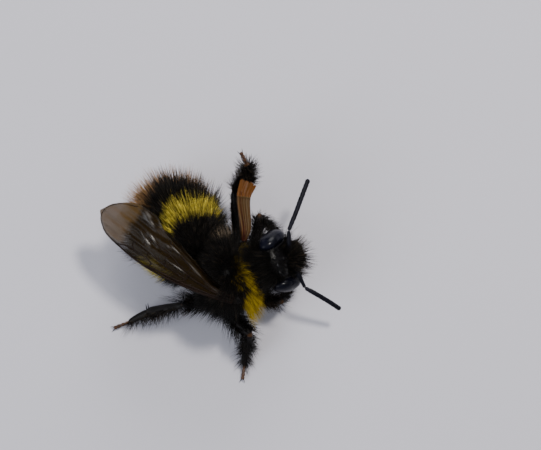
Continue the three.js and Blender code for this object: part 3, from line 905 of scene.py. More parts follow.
def abdomen_share(points):
    """How far along the abdomen points are, their angle round it, the direction tailwards and their reach."""
    shares = np.linspace(0, 1, 161)
    line = along_curve(ABDOMEN_KNOTS, shares)
    ahead, side, rise = frames_along(line, (0, 0, 1))
    nearest = np.empty(len(points), int)
    for start in range(0, len(points), 20000):
        part = points[start:start + 20000]
        gaps = ((part[:, None] - line[None]) ** 2).sum(2)
        nearest[start:start + 20000] = gaps.argmin(1)
    local = points - line[nearest]
    around = np.arctan2((local * rise[nearest]).sum(1), (local * side[nearest]).sum(1))
    return shares[nearest], around, ahead[nearest], np.linalg.norm(local, axis=1)


def marking_share(shares, around):
    """The share that the markings follow: down the sides each band runs forward."""
    upward = np.maximum(0, np.sin(around))
    return shares + BAND_SLANT * (1 - upward) + 2 * BAND_TWIST * upward * np.maximum(0, np.cos(around))


def collar_depth(points):
    """How far in front of the collar's back edge points are, in millimetres."""
    facing = turn("Z", COLLAR_TURN) @ turn("Y", -COLLAR_TILT)
    across = (points - COLLAR_EDGE) @ facing[:, 0]
    shoulders = [reach - np.linalg.norm(points - np.array(at), axis=1) for at, reach in COLLAR_TUFTS]
    return np.maximum(across, np.maximum(*shoulders))


# Root tints are far darker than tip tints: painted shade deep in the coat, where the outer hair keeps the
# light off. The skin takes a share of the coloured root tints under the markings.
YELLOW_ROOT = np.array([0.02, 0.012, 0.001])
YELLOW_TIP = np.array([0.54, 0.43, 0.05])
GOLD_ROOT = np.array([0.03, 0.014, 0.001])
GOLD_TIP = np.array([0.52, 0.36, 0.008])
BLACK_ROOT = np.array([0.0014, 0.0012, 0.0014])
BLACK_TIP = np.array([0.006, 0.005, 0.0042])
# Paler tips of black hair: partly their own colour, partly a painted highlight on hairs that catch the light.
PALE_TIP_AND_HIGHLIGHT = np.array([0.06, 0.045, 0.03])
DUSTY_TIP = np.array([0.05, 0.032, 0.018])
BUFF_ROOT = np.array([0.02, 0.011, 0.006])
BUFF_TIP = np.array([0.40, 0.22, 0.09])

# The collar's back edge: a point on it, and how the plane through it is turned and tilted back.
COLLAR_EDGE = np.array([0.6, 0.0, 9.2])
COLLAR_TURN, COLLAR_TILT = 9, 20
# Where else the collar's hair grows, on the shoulders, and how far round there.
COLLAR_TUFTS = (((1.9, -1.85, 6.6), 1.0), ((1.5, 1.7, 6.6), 0.5))
BALD_SPOT = np.array([-0.25, -0.45])
SKULL_SIZE = np.array([1.75, 2.75, 2.7])


def body_part(points):
    """0 where points belong to the abdomen, 1 to the thorax and 2 to the head."""
    head_gap = np.linalg.norm(to_head(points) / SKULL_SIZE, axis=1)
    thorax_gap = np.linalg.norm((points - THORAX_CENTRE) / (THORAX_SIZE / 2 - THORAX_COAT), axis=1)
    shares, _, _, reach = abdomen_share(points)
    local_size = np.maximum(egg(np.clip(shares, 0.02, 0.98), ABDOMEN_WIDEST, EGG_POWER), 0.2)
    abdomen_gap = reach / (local_size * (ABDOMEN_DEPTH / 2 - ABDOMEN_COAT))
    abdomen_gap = np.where(points[:, 0] > -1.9, 9.0, abdomen_gap)
    return np.argmin(np.stack([abdomen_gap, thorax_gap, head_gap], 1), axis=1)


# ---------------------------------------------------------------- skin

SKIN_GRAIN = 0.1  # how finely the parts of the skin are joined into one surface


def make_skin():
    """The flesh of head, thorax and abdomen as one surface under the coat."""
    neck_knots = [(1.8, 0.4, 6.0), (3.2, 0.75, 5.9), (4.6, 1.1, 5.7)]
    neck_line = along_curve(neck_knots, np.linspace(0, 1, 8))
    neck = rings_along(neck_line, np.full(8, 1.3), np.full(8, 1.35), 24)
    waist_line = along_curve([(-1.4, 0.2, 5.7), (-2.6, 1.0, 5.5), (-3.6, 2.0, 5.3)], np.linspace(0, 1, 8))
    waist = rings_along(waist_line, np.full(8, 1.6), np.full(8, 1.5), 24)
    shells = [closed_shell(rings) for rings in (
        thorax_rings(THORAX_COAT), abdomen_rings(ABDOMEN_COAT), skull_rings(SKULL_COAT), neck, waist,
        lump((0.95, 0, -1.0), (0.55, 0.85, 0.85)), lump((0.85, 0, 0.2), (0.55, 0.7, 0.75)),
    )]
    skin = new_piece("skin", joined(*shells))
    remesh = skin.modifiers.new("one_surface", "REMESH")
    remesh.mode = "VOXEL"
    remesh.voxel_size = SKIN_GRAIN * MM
    relax = skin.modifiers.new("relax", "SMOOTH")
    relax.factor = 0.5
    relax.iterations = 6
    settle(skin)
    mesh = skin.data
    points = shape_face(press_under_wings(bee_points(mesh), 0.3, 0.1))
    mesh.vertices.foreach_set("co", place(points).astype(np.float32).ravel())
    mesh.update()
    mesh.shade_smooth()
    point_colours(mesh, "tint", skin_tint(points))
    point_values(mesh, "bare", bare_places(points))
    mesh.materials.clear()
    mesh.materials.append(SKIN)
    abdomen = [f"abdomen_{length}" for length in ("t1", "t2", "t3", "t4", "tail")]
    return mount(skin, ["head", "thorax", "collar"] + abdomen)


def shape_face(points):
    """A low rim round each eye, and a groove down the middle of the forehead."""
    head = to_head(points)
    is_head = (np.linalg.norm(head, axis=1) < 3.6) & (body_part(points) == 2)
    gap = near_eye(head)
    rim = np.exp(-((gap - 1.08) / 0.07) ** 2) * 0.09
    outward = unit(head * np.array([1, 0.6, 0.7]))
    groove = np.exp(-(head[:, 1] / 0.12) ** 2) * smooth_step(head[:, 2], 0.5, 1.0) * 0.06
    groove = groove * smooth_step(head[:, 0], 0.4, 0.9)
    moved = head + outward * (rim - groove)[:, None]
    return np.where(is_head[:, None], from_head(moved), points)


def bare_places(points):
    """1 on the polished forehead and the bald spot of the back, 0 under the coat."""
    head = to_head(points)
    forehead = smooth_step(head[:, 0], 0.4, 0.8) * smooth_step(head[:, 2], 0.4, 0.7)
    forehead = forehead * (body_part(points) == 2)
    spot = 1 - smooth_step(np.linalg.norm(points[:, :2] - BALD_SPOT, axis=1), 0.3, 0.6)
    return np.maximum(forehead, spot * 0.25 * (points[:, 2] > THORAX_HEIGHT))


def skin_tint(points):
    """The skin's colour: black, with the markings of the coat over it."""
    part = body_part(points)
    shares, around, _, _ = abdomen_share(points)
    shares = marking_share(shares, around)
    past_band = smooth_step(shares, BAND_END - 0.04, BAND_END - 0.01)
    band = smooth_step(shares, BAND_START - 0.03, BAND_START) * (1 - past_band)
    tail = smooth_step(shares, TAIL_START - 0.03, TAIL_START + 0.02)
    collar = smooth_step(collar_depth(points), -0.1, 0.15)
    tint = np.tile(np.array([0.003, 0.0026, 0.003]), (len(points), 1))
    on_abdomen = (part == 0)[:, None]
    tint = np.where(on_abdomen, tint + (YELLOW_ROOT * 0.5 - tint) * band[:, None], tint)
    tint = np.where(on_abdomen, tint + (BUFF_ROOT * 0.8 - tint) * tail[:, None], tint)
    return np.where((part == 1)[:, None], tint + (GOLD_ROOT * 0.5 - tint) * collar[:, None], tint)


skin = make_skin()
skin_surface = mesh_surface(skin.data)
skin_middles = skin_surface[0].mean(1)
skin_part = body_part(skin_middles)


def part_surface(part, chosen=None):
    keep = skin_part == part
    if chosen is not None:
        keep &= chosen(skin_middles)
    return skin_surface[0][keep], skin_surface[1][keep]


def stray(vectors, amount, rng):
    """Directions that each stray a little from their own."""
    return unit(vectors + rng.normal(0, amount, vectors.shape))


def shade(base, rng, count, low=0.7, high=1.3):
    """Lighter and darker kinds of one colour."""
    return base[None] * rng.uniform(low, high, (count, 1))


def black_hair(rng, count, pale_share=0.07):
    """Root and tip tints of black hairs, a few of them with a paler tip: partly real paler tips, partly
    painted highlight where the hair catches the light.
    """
    tips = shade(BLACK_TIP, rng, count, 0.5, 1.5)
    pale = rng.random(count) < pale_share
    tips[pale] = shade(PALE_TIP_AND_HIGHLIGHT, rng, pale.sum(), 0.5, 1.3)
    return shade(BLACK_ROOT, rng, count), tips


def with_black(tints, dark, rng):
    """The tints, with black hairs in the places that dark says."""
    roots, tips = tints
    black_roots, black_tips = black_hair(rng, len(roots))
    return np.where(dark[:, None], black_roots, roots), np.where(dark[:, None], black_tips, tips)


def under_wings(points):
    return press_under_wings(points, 0.12)


def abdomen_coat(name, slot, low, high, count, length, lean, colours, seed, dark_share=0.0, **layers):
    """The hair between two shares of the abdomen, leaning tailwards."""
    rng = np.random.default_rng(seed)
    edge = 0.016

    def weight(points):
        shares, around, _, _ = abdomen_share(points)
        marks = marking_share(shares, around)
        below = 1 - 0.55 * smooth_step(-np.sin(around), 0.2, 0.9)
        started = below * smooth_step(marks, low - edge, low + edge)
        return started * (1 - smooth_step(marks, high - edge, high + edge))

    roots, normals = scatter(part_surface(0), weight, count, rng)
    shares, around, tailwards, _ = abdomen_share(roots)
    marks = marking_share(shares, around)
    away = tailwards + unit(roots - np.array(WAIST)) * 1.1
    flow = unit(away - normals * (away * normals).sum(1, keepdims=True))
    angle = np.radians(lean + rng.normal(0, 8, count))[:, None]
    lean_in = stray(normals * np.cos(angle * 0.7) + flow * np.sin(angle * 0.7), 0.10, rng)
    aim = stray(normals * np.cos(angle * 1.1) + flow * np.sin(angle * 1.1), 0.12, rng)
    below = smooth_step(-np.sin(around), 0.2, 0.9)
    lengths = length * (1 - 0.3 * below)
    if colours is None:
        tints = black_hair(rng, count)
    else:
        root_tint, tip_tint = colours
        tints = shade(root_tint, rng, count), shade(tip_tint, rng, count, 0.55, 1.3)
        edges = 1 - smooth_step(marks, low, low + 0.05) * (1 - smooth_step(marks, high - 0.05, high))
        tints = with_black(tints, rng.random(count) < dark_share * (0.5 + 1.4 * edges), rng)
    atlas = np.stack([(around / (2 * np.pi) + 0.5) * 0.99, (shares + 0.1) / 1.3], 1)
    coat = grow(Coat(), roots, normals, lean_in, aim, lengths, tints, atlas, rng, fit=under_wings, **layers)
    return coat.piece(name, slot)


def thorax_coat(name, slot, chosen, count, seed, gold):
    """The thorax's hair: it parts at the bald spot and grows longer down the sides, gold on the collar, with
    painted shade that darkens the collar towards the bee's left and its front.
    """
    rng = np.random.default_rng(seed)

    def weight(points):
        depth = collar_depth(points)
        on_top = points[:, 2] > THORAX_HEIGHT
        bald = np.linalg.norm(points[:, :2] - BALD_SPOT, axis=1)
        thin = np.where(on_top, 0.3 + 0.7 * smooth_step(bald, 0.2, 0.5), 1.0)
        below = 1 - 0.5 * smooth_step(THORAX_HEIGHT - points[:, 2], 1.2, 2.6)
        side = smooth_step(depth, -0.08, 0.12)
        return chosen(points) * thin * below * (side if gold else 1 - side)

    roots, normals = scatter(part_surface(1), weight, count, rng)
    local = roots - THORAX_CENTRE
    flank = smooth_step(np.abs(local[:, 1]), 1.4, 3.0)
    outward = np.stack([local[:, 0] * 0.25, local[:, 1] * 0.3, -0.12 * flank], 1)
    if gold:
        low_right = smooth_step(-roots[:, 1], 0.7, 2.2)
        upright = smooth_step(roots[:, 1], -0.3, 1.2)
        away = outward + np.array([0.45, -0.3, 0.1]) - np.array([0.5, 0.0, 0.0]) * upright[:, None]
        away -= np.array([0.25, 0.2, 0.1]) * low_right[:, None]
        lengths = (1.1 + 0.3 * flank + 1.7 * low_right) * (1 - 0.45 * upright)
    else:
        away = outward + np.array([-0.5, 0.0, -0.05])
        bald = np.linalg.norm(roots[:, :2] - BALD_SPOT, axis=1)
        lengths = (1.3 + 0.7 * flank) * (0.5 + 0.5 * smooth_step(bald, 0.4, 1.5))
        lengths += 0.7 * smooth_step(-local[:, 1], 1.5, 2.6) * smooth_step(-local[:, 2], -0.2, 1.0)
        lengths += 0.7 * smooth_step(local[:, 1], 1.2, 2.0) * smooth_step(local[:, 0], 0.8, 1.6)
    flow = away - normals * (away * normals).sum(1, keepdims=True)
    lean_in = stray(normals + flow * 0.5, 0.12, rng)
    aim = stray(normals + flow * 1.1, 0.16, rng)
    tints = black_hair(rng, count, 0.05)
    # Paler tips on the left shoulder: partly paler hair, partly painted highlight where the hair catches the
    # light.
    shoulder = smooth_step(roots[:, 1], 2.0, 2.6) * (1 - smooth_step(np.abs(roots[:, 0] + 0.5), 0.5, 1.2))
    pale = (rng.random(count) < 0.35 * shoulder)[:, None]
    tints = tints[0], np.where(pale, shade(PALE_TIP_AND_HIGHLIGHT * 5, rng, count, 0.5, 1.3), tints[1])
    if not gold:
        near = smooth_step(collar_depth(roots), -0.7, -0.1)
        near = near * smooth_step(1.5 - np.abs(roots[:, 1] + 0.5), 0.0, 0.8)
        strays = (rng.random(count) < 0.2 * near)[:, None]
        tints = [np.where(strays, shade(gold_tint, rng, count), tint)
                 for gold_tint, tint in zip((GOLD_ROOT, GOLD_TIP * 0.5), tints)]
    else:
        # Painted shade: towards the bee's left the gold tips grow darker and more hairs are black, and in
        # front of the depth limit all of them are. This stands for the shade under the head's hair, with some
        # real black hairs mixed in at the edge.
        left = smooth_step(roots[:, 1], -2.4, 1.4)
        shadow_start = 0.1 + 1.3 * (1 - left) ** 2
        front = smooth_step(collar_depth(roots) - shadow_start, -0.1, 0.2) * smooth_step(left, 0.02, 0.2)
        gold_roots = shade(GOLD_ROOT, rng, count)
        gold_tips = shade(GOLD_TIP, rng, count, 0.55, 1.3) * (1 - 0.75 * left)[:, None]
        dark = rng.random(count) < np.maximum(0.06 + 0.45 * left, front)
        tints = with_black((gold_roots, gold_tips), dark, rng)
    bearing = np.arctan2(local[:, 1], local[:, 2])
    atlas = np.stack([bearing / (2 * np.pi) + 0.5, local[:, 0] / THORAX_SIZE[0] + 0.5], 1)
    coat = grow(Coat(), roots, normals, lean_in, aim, lengths, tints, atlas * 0.99, rng,
                per_tuft=12, pull=0.6, guard=0.32, width=0.055, contrast=0.5, fit=under_wings)
    return coat.piece(name, slot)


def head_coat(name, chosen, count, seed):
    """The head's hair: a long ruff on the crown and the face, a short nap elsewhere, none on the eyes."""
    rng = np.random.default_rng(seed)

    def zones(head):
        crown = smooth_step(head[:, 2], 1.75, 2.25) * smooth_step(0.55 - head[:, 0], 0.0, 0.5)
        face = smooth_step(head[:, 0], 0.75, 1.15) * smooth_step(1.45 - np.abs(head[:, 1]), 0, 0.5)
        face = face * smooth_step(0.8 - head[:, 2], 0.0, 0.4) * smooth_step(head[:, 2] + 1.9, 0.0, 0.6)
        return crown, face

    def weight(points):
        head = to_head(points)
        crown, face = zones(head)
        clear = smooth_step(near_eye(head), 1.04, 1.12)
        bare = 1 - 0.6 * smooth_step(head[:, 2], 0.6, 0.9) * smooth_step(head[:, 0], 0.4, 0.8)
        return chosen(head) * clear * np.maximum(np.maximum(crown, face), 0.55 * bare)

    roots, normals = scatter(part_surface(2), weight, count, rng)
    head = to_head(roots)
    crown, face = zones(head)
    crown_aim = unit(np.tile(np.array([-0.95, 0.0, 0.7]), (count, 1)) + np.array([0, 0.25, 0]) * head[:, 1:2])
    face_aim = unit(np.stack([np.ones(count), head[:, 1] * 0.8, (head[:, 2] + 0.3) * 0.8], 1))
    long_hair = crown_aim * (1.5 * crown)[:, None] + face_aim * face[:, None]
    aim = normals * 0.8 + long_hair @ HEAD_TO_BEE.T
    lean_in = stray(unit(aim + normals * 0.5), 0.12, rng)
    cheek = smooth_step(-head[:, 0], -0.3, 0.7)
    jowl = smooth_step(np.abs(head[:, 1]), 1.3, 2.0) * smooth_step(0.9 - head[:, 2], 0.0, 0.8)
    jowl = jowl * np.where(head[:, 1] < 0, 0.85, 1.0)
    polished = smooth_step(head[:, 0], 0.4, 0.8) * smooth_step(head[:, 2], 0.6, 0.9)
    behind = smooth_step(1.9 - near_eye(head), 0.0, 0.4) * smooth_step(-head[:, 0], 0.1, 0.6)
    aim = aim + (np.array([0.9, 0, 0.2]) * behind[:, None]) @ HEAD_TO_BEE.T
    lengths = 0.5 - 0.25 * polished * (1 - crown)
    lengths += np.maximum(1.25 * crown, 0.85 * cheek) + 0.9 * face + 1.3 * jowl + 0.5 * behind
    root_tints, tip_tints = black_hair(rng, count, 0.05)
    # Paler tips in the face's tuft: painted highlight where the tips are lit from behind.
    pale = (rng.random(count) < 0.12 * face)[:, None]
    tip_tints = np.where(pale, shade(PALE_TIP_AND_HIGHLIGHT * 1.8, rng, count, 0.4, 1.3), tip_tints)
    dusty = smooth_step(-head[:, 1], 1.0, 1.7) * smooth_step(-0.2 - head[:, 2], 0.0, 0.6)
    tip_tints = np.where((rng.random(count) < 0.7 * dusty)[:, None], shade(DUSTY_TIP, rng, count), tip_tints)
    atlas = np.stack([np.arctan2(head[:, 1], head[:, 0]) / (2 * np.pi) + 0.5, head[:, 2] / 6.0 + 0.5], 1)
    coat = grow(Coat(), roots, normals, lean_in, stray(unit(aim), 0.2, rng), lengths, (root_tints, tip_tints),
                atlas * 0.99, rng, per_tuft=9, pull=0.7 - 0.3 * face, guard=0.3 + 0.15 * face, width=0.045,
                short=0.2 - 0.1 * face, middle=0.95 - 0.55 * face, longest=1.75 - 0.1 * face)
    return coat.piece(name, "coat_black")


def make_coats():
    """The coats of thorax, abdomen and head, each with its number of hairs and its seed."""
    everywhere = lambda points: np.ones(len(points))
    upper = lambda points: 1.0 * (points[:, 2] > THORAX_HEIGHT + 0.9)
    lower = lambda points: 1.0 * (points[:, 2] <= THORAX_HEIGHT + 0.9)
    thorax_coat("coat_back", "coat_black", upper, 9500, 11, False)
    thorax_coat("coat_sides", "coat_black", lower, 8500, 12, False)
    thorax_coat("coat_collar", "coat_yellow", everywhere, 8000, 13, True)
    yellow = (YELLOW_ROOT, YELLOW_TIP)
    buff = (BUFF_ROOT, BUFF_TIP)
    abdomen_coat("coat_abdomen_front", "coat_black", -0.2, BAND_START, 9500, 2.1, 46, None, 21)
    abdomen_coat("coat_band", "coat_yellow", BAND_START, BAND_END, 8500, 2.0, 52, yellow, 22, 0.32,
                 per_tuft=22, pull=1.0, width=0.066, contrast=0.6)
    abdomen_coat("coat_abdomen_rear", "coat_black", BAND_END, TAIL_START, 9500, 2.25, 34, None, 23,
                 guard=0.25, short=0.35, longest=1.6)
    abdomen_coat("coat_tail", "coat_buff", TAIL_START, 1.2, 8500, 2.3, 24, buff, 24, 0.14,
                 guard=0.25, short=0.3, longest=1.6, contrast=0.5)
    head_coat("coat_crown", lambda head: 1.0 * (head[:, 2] > 1.3), 6000, 31)
    head_coat("coat_face", lambda head: 1.0 * (head[:, 2] <= 1.3), 8500, 32)


make_coats()

# ---------------------------------------------------------------- head pieces

SIDES = (("left", 1), ("right", -1))


def make_eyes():
    for name, side in SIDES:
        centre, turned = eye_place(side)
        bean = ball_rings(60, 90)
        pinch = 1 - 0.10 * np.exp(-(bean[..., 2] / 0.35) ** 2) * np.maximum(bean[..., 0], 0)
        bean = bean * np.stack([pinch, np.ones_like(pinch), np.ones_like(pinch)], -1)
        eye = new_piece(f"bee_eye_{name}", closed_shell(from_head(bean * EYE_RADII @ turned.T + centre)), EYE)
        mount(eye, [f"eye_{name}"])


def make_face_plates():
    """The hard parts of the face: clypeus, labrum, ocelli, four bosses and the antennae's sockets."""
    clypeus = closed_shell(lump((0.9, 0, -1.25), (0.58, 0.8, 0.7), turn("Y", -8), 26, 40))
    labrum = closed_shell(lump((0.9, 0, -1.95), (0.4, 0.6, 0.3), turn("Y", -14), 16, 28))
    ocelli = [closed_shell(lump(at, (0.15, 0.15, 0.13), None, 12, 18))
              for at in ((0.72, 0.72, 1.98), (0.83, 0.0, 2.02), (0.72, -0.72, 1.98))]
    bosses = [closed_shell(lump(at, (0.1, 0.13, 0.08), None, 10, 16))
              for at in ((1.09, 0.36, 1.0), (1.09, -0.37, 1.0), (1.02, -0.84, 1.0), (0.94, -1.17, 1.0))]
    sockets = [closed_shell(lump((1.32, side * 0.5, 0.05), (0.2, 0.34, 0.34), None, 12, 24))
               for _, side in SIDES]
    plates = new_piece("face_plates", joined(clypeus, labrum, *ocelli, *bosses, *sockets), FACE_PLATE)
    mount(plates)


def make_jaws():
    for name, side in SIDES:
        knots = [(0.6, side * 1.15, -1.8), (0.85, side * 0.95, -2.45),
                 (0.95, side * 0.45, -2.85), (0.97, side * 0.05, -2.95)]
        t = eased(40)[1:-1]
        line = from_head(along_curve(knots, t))
        half = 0.38 * rounded_ends(t, 3) * (1 - 0.55 * t) * (1 - 0.12 * np.exp(-((t - 0.45) / 0.1) ** 2))
        thin = 0.22 * rounded_ends(t, 3) * (1 - 0.4 * t)
        rings = rings_along(line, half, thin, 24, HEAD_TO_BEE[:, 0])
        grooves = 1 - 0.09 * np.cos(6 * np.linspace(0, 2 * np.pi, 24, endpoint=False))
        rings = line[:, None] + (rings - line[:, None]) * grooves[None, :, None]
        jaw = new_piece(f"jaw_{name}", closed_shell(rings), HORN)
        point_values(jaw.data, "joint", smooth_step(np.linspace(1, 0, len(jaw.data.vertices)), 0.7, 1.0))
        mount(jaw, [f"mandible_{name}"])


ANTENNA_BENDS = {
    "left": [(5.95, 3.95, 7.7), (6.6, 5.6, 7.5), (7.35, 7.7, 7.0), (7.95, 9.4, 6.4)],
    "right": [(7.6, -1.5, 5.6), (8.6, -2.0, 5.2), (9.9, -2.65, 4.4), (11.2, -3.35, 3.4)],
}


def make_antennae():
    for name, side in SIDES:
        socket = from_head([(1.35, side * 0.5, 0.05)])[0]
        bends = np.array(ANTENNA_BENDS[name])
        middle = (socket + bends[0]) / 2 + np.array([0.0, 0.0, 0.12])
        t = np.linspace(0, 1, 80)
        scape_line = along_curve([socket, middle, bends[0]], t)
        scape_half = domed(scape_line, 0.17 + 0.06 * np.sin(np.pi * np.clip(t * 1.1, 0, 1)))
        scape = rods(f"feeler_base_{name}", [(scape_line, scape_half)], FEELER, Sides=20, Step=0.05 * MM)
        mount(scape, [f"antenna_scape_{name}"])
        t = np.linspace(0, 1, 240)
        line = along_curve(bends, t)
        half = domed(line, 0.2 + 0.045 * smooth_step(t, 0, 0.25))
        flagellum = rods(f"feeler_{name}", [(line, half)], FEELER, JOINTED_ROD, Sides=20,
                         Step=0.03 * MM, Segments=11.0, Groove=0.14, Flare=0.06)
        mount(flagellum, [f"antenna_flagellum_{name}"])


make_eyes()
make_face_plates()
make_jaws()
make_antennae()

# ---------------------------------------------------------------- legs

# Each leg is a chain of joints: hip, trochanter, knee, ankle, heel and toe.
LEG_JOINTS = {
    "fore_left": [(2.0, 1.2, 3.6), (2.5, 2.6, 3.4), (3.0, 6.0, 5.0),
                  (4.5, 4.9, 2.6), (5.2, 4.2, 1.0), (6.0, 2.9, 0.22)],
    "fore_right": [(2.0, -1.2, 3.6), (2.6, -1.9, 2.7), (5.3, -2.6, 3.5),
                   (6.0, -0.7, 1.5), (6.4, 0.3, 0.7), (6.7, 1.6, 0.22)],
    "middle_left": [(0.4, 1.8, 3.6), (0.7, 3.7, 4.5), (0.45, 8.4, 5.8),
                    (2.0, 9.5, 8.6), (1.8, 10.1, 10.3), (1.2, 11.1, 11.7)],
    "middle_right": [(0.2, -1.6, 3.5), (-0.2, -3.1, 2.8), (2.1, -6.0, 3.6),
                     (1.65, -7.2, 1.0), (1.5, -8.6, 0.45), (1.3, -10.2, 0.22)],
    "hind_left": [(-1.2, 1.2, 3.5), (-1.6, 2.4, 2.5), (-2.0, 5.4, 2.2),
                  (-3.3, 8.4, 1.0), (-4.3, 9.5, 0.5), (-5.6, 9.9, 0.22)],
    "hind_right": [(-1.2, -1.2, 3.5), (-1.5, -2.3, 2.5), (-4.7, -3.05, 4.1),
                   (-8.3, -3.45, 1.5), (-10.2, -4.25, 0.5), (-11.9, -4.9, 0.22)],
}

# Half widths at the start and the end of each length of leg, and how flat it is.
LEG_SIZES = {
    "fore": ((0.7, 0.6), (0.6, 0.42), (0.38, 0.48), (0.34, 0.3), 0.85),
    "middle": ((0.75, 0.65), (0.72, 0.5), (0.42, 0.62), (0.42, 0.34), 0.75),
    "middle_left": ((0.6, 0.5), (0.42, 0.36), (0.6, 0.95), (0.75, 0.5), 0.6),
    "hind": ((0.8, 0.7), (0.7, 0.45), (0.45, 0.95), (0.7, 0.5), 0.5),
    "hind_right": ((0.8, 0.7), (0.7, 0.45), (0.45, 0.72), (0.5, 0.34), 0.62),
}
JOINT_TONE = {"hind_right": 0.3}  # how much of the joints' brown shows, where it isn't all of it
LEG_COAT = 0.8  # the bare leg's share of the width that its solid has with its hair


def leg_length(start, end, first, last, flat, swell, past=0.16, count=30, sides=28):
    """One length of leg, waisted at both ends, with a mask that is 1 at its joints."""
    start, end = np.array(start, float), np.array(end, float)
    reach = unit(end - start) * past
    t = eased(count)[1:-1]
    line = (start - reach) + (end - start + 2 * reach) * t[:, None]
    bow = np.cross(unit(end - start), np.array([0.3, 0.2, 1.0]))
    line = line + bow * (0.05 * np.sin(np.pi * t))[:, None]
    waist = 1 - 0.28 * np.exp(-(t / 0.08) ** 2) - 0.22 * np.exp(-((1 - t) / 0.06) ** 2)
    half = (first + (last - first) * t + swell * np.sin(np.pi * t)) * rounded_ends(t, 5) * waist
    rings = rings_along(line, half, half * flat, sides)
    mask = np.maximum(np.exp(-(t / 0.07) ** 2), np.exp(-((1 - t) / 0.06) ** 2))
    shell = closed_shell(rings)
    return shell, np.append(np.repeat(mask, sides), [1.0, 1.0])


def make_leg(name):
    """A leg's four thick lengths as one piece, with its foot and, on a hind leg, its spurs."""
    hip, trochanter, knee, ankle, heel, toe = LEG_JOINTS[name]
    coxa, femur, tibia, basitarsus, flat = LEG_SIZES.get(name) or LEG_SIZES[name.split("_")[0]]
    lengths = [
        leg_length(hip, trochanter, coxa[0] * LEG_COAT, coxa[1] * LEG_COAT, 0.9, 0.0),
        leg_length(trochanter, knee, femur[0] * LEG_COAT, femur[1] * LEG_COAT, 0.85, 0.12),
        leg_length(knee, ankle, tibia[0] * LEG_COAT, tibia[1] * LEG_COAT, flat, 0.0),
        leg_length(ankle, heel, basitarsus[0] * LEG_COAT, basitarsus[1] * LEG_COAT, flat, 0.03),
    ]
    leg = new_piece(f"leg_{name}", joined(*[shell for shell, _ in lengths]), LEG_CUTICLE)
    point_values(leg.data, "joint", JOINT_TONE.get(name, 1.0) * np.concatenate([mask for _, mask in lengths]))
    mount(leg, [f"leg_{name}_{part}" for part in ("femur", "tibia", "basitarsus")])
    make_foot(name, heel, toe)
    if name.startswith("hind"):
        make_spurs(name, ankle)
    return leg


def make_spurs(name, ankle):
    """The pair of stiff spurs on the inner side of a hind shin's end."""
    inward = -1 if name.endswith("left") else 1
    spurs = []
    for along, length in ((0.1, 0.7), (-0.1, 0.6)):
        root = np.array(ankle, float) + (along, inward * 0.25, 0.1)
        tip = root + np.array([-0.12, inward * length, 0.12])
        s = np.linspace(0, 1, 12)
        spurs.append((root + (tip - root) * s[:, None], 0.085 * (1 - 0.8 * s)))
    return mount(rods(f"spurs_{name}", spurs, HORN, Sides=8, Step=0.04 * MM))


def make_foot(name, heel, toe):
    """The last joints of a foot, ending in a pair of hooked claws."""
    heel, toe = np.array(heel, float), np.array(toe, float)
    ahead = unit(toe - heel)
    side = unit(np.cross(ahead, (0, 0, 1)))
    low = np.cross(side, ahead)
    low = low if low[2] < 0 else -low
    t = np.linspace(0, 1, 80)
    end = toe - ahead * 0.08
    line = heel + (end - heel) * t[:, None] - low * (0.08 * np.sin(np.pi * t))[:, None]
    half = domed(line, 0.15 + 0.05 * t)
    joints = rods(f"foot_{name}", [(line, half)], FOOT_CUTICLE, JOINTED_ROD, Sides=16,
                  Step=0.04 * MM, Segments=4.0, Groove=0.3, Flare=0.5)
    mount(joints, [f"leg_{name}_tarsus"])
    hooks = []
    for way in (1, -1):
        knots = [toe - ahead * 0.2 + side * way * 0.05, toe + ahead * 0.05 + side * way * 0.2 - low * 0.06,
                 toe + ahead * 0.25 + side * way * 0.26 + low * 0.06]
        s = np.linspace(0, 1, 12)
        hooks.append((along_curve(knots, s), 0.06 * (1 - 0.85 * s)))
    claws = rods(f"claws_{name}", hooks, HORN, Sides=8, Step=0.04 * MM)
    mount(claws)


legs = {name: make_leg(name) for name in LEG_JOINTS}

# ---------------------------------------------------------------- wings

# Creases of the forewing, each from one share and offset to another, with its height and width.
WING_CREASES = [
    ((0.71, 1.0), (0.61, 0.2), 0.13, 0.14), ((0.665, 1.35), (0.565, 0.6), 0.13, 0.14),
    ((0.765, 2.95), (0.69, 2.3), 0.13, 0.3), ((0.7, 2.4), (0.63, 1.9), 0.1, 0.2),
    ((0.47, -0.06), (0.325, -0.26), 0.12, 0.1), ((0.66, 3.05), (0.59, 2.45), 0.08, 0.1),
    ((0.535, 1.3), (0.48, 1.05), 0.1, 0.1), ((0.51, 1.4), (0.4, 1.05), 0.08, 0.08),
    ((0.4, 1.05), (0.22, 0.1), 0.08, 0.08), ((0.2, -0.1), (0.08, -0.35), 0.07, 0.1),
    ((0.6, -0.3), (0.5, -0.55), 0.06, 0.1),
]


def creases(wing, share, offset):
    """The height that the creases add to the wing's surface."""
    rise = np.zeros_like(offset)
    at = np.stack([share * wing.length, offset], -1)
    for (start_share, start_offset), (end_share, end_offset), height, width in WING_CREASES:
        start = np.array([start_share * wing.length, start_offset])
        end = np.array([end_share * wing.length, end_offset])
        along = np.clip(((at - start) @ (end - start)) / ((end - start) @ (end - start)), 0, 1)
        gap = np.linalg.norm(at - start - along[..., None] * (end - start), axis=-1)
        rise += height * np.exp(-(gap / width) ** 2) * np.sin(np.pi * np.clip(along, 0.04, 0.96)) ** 0.5
    return rise


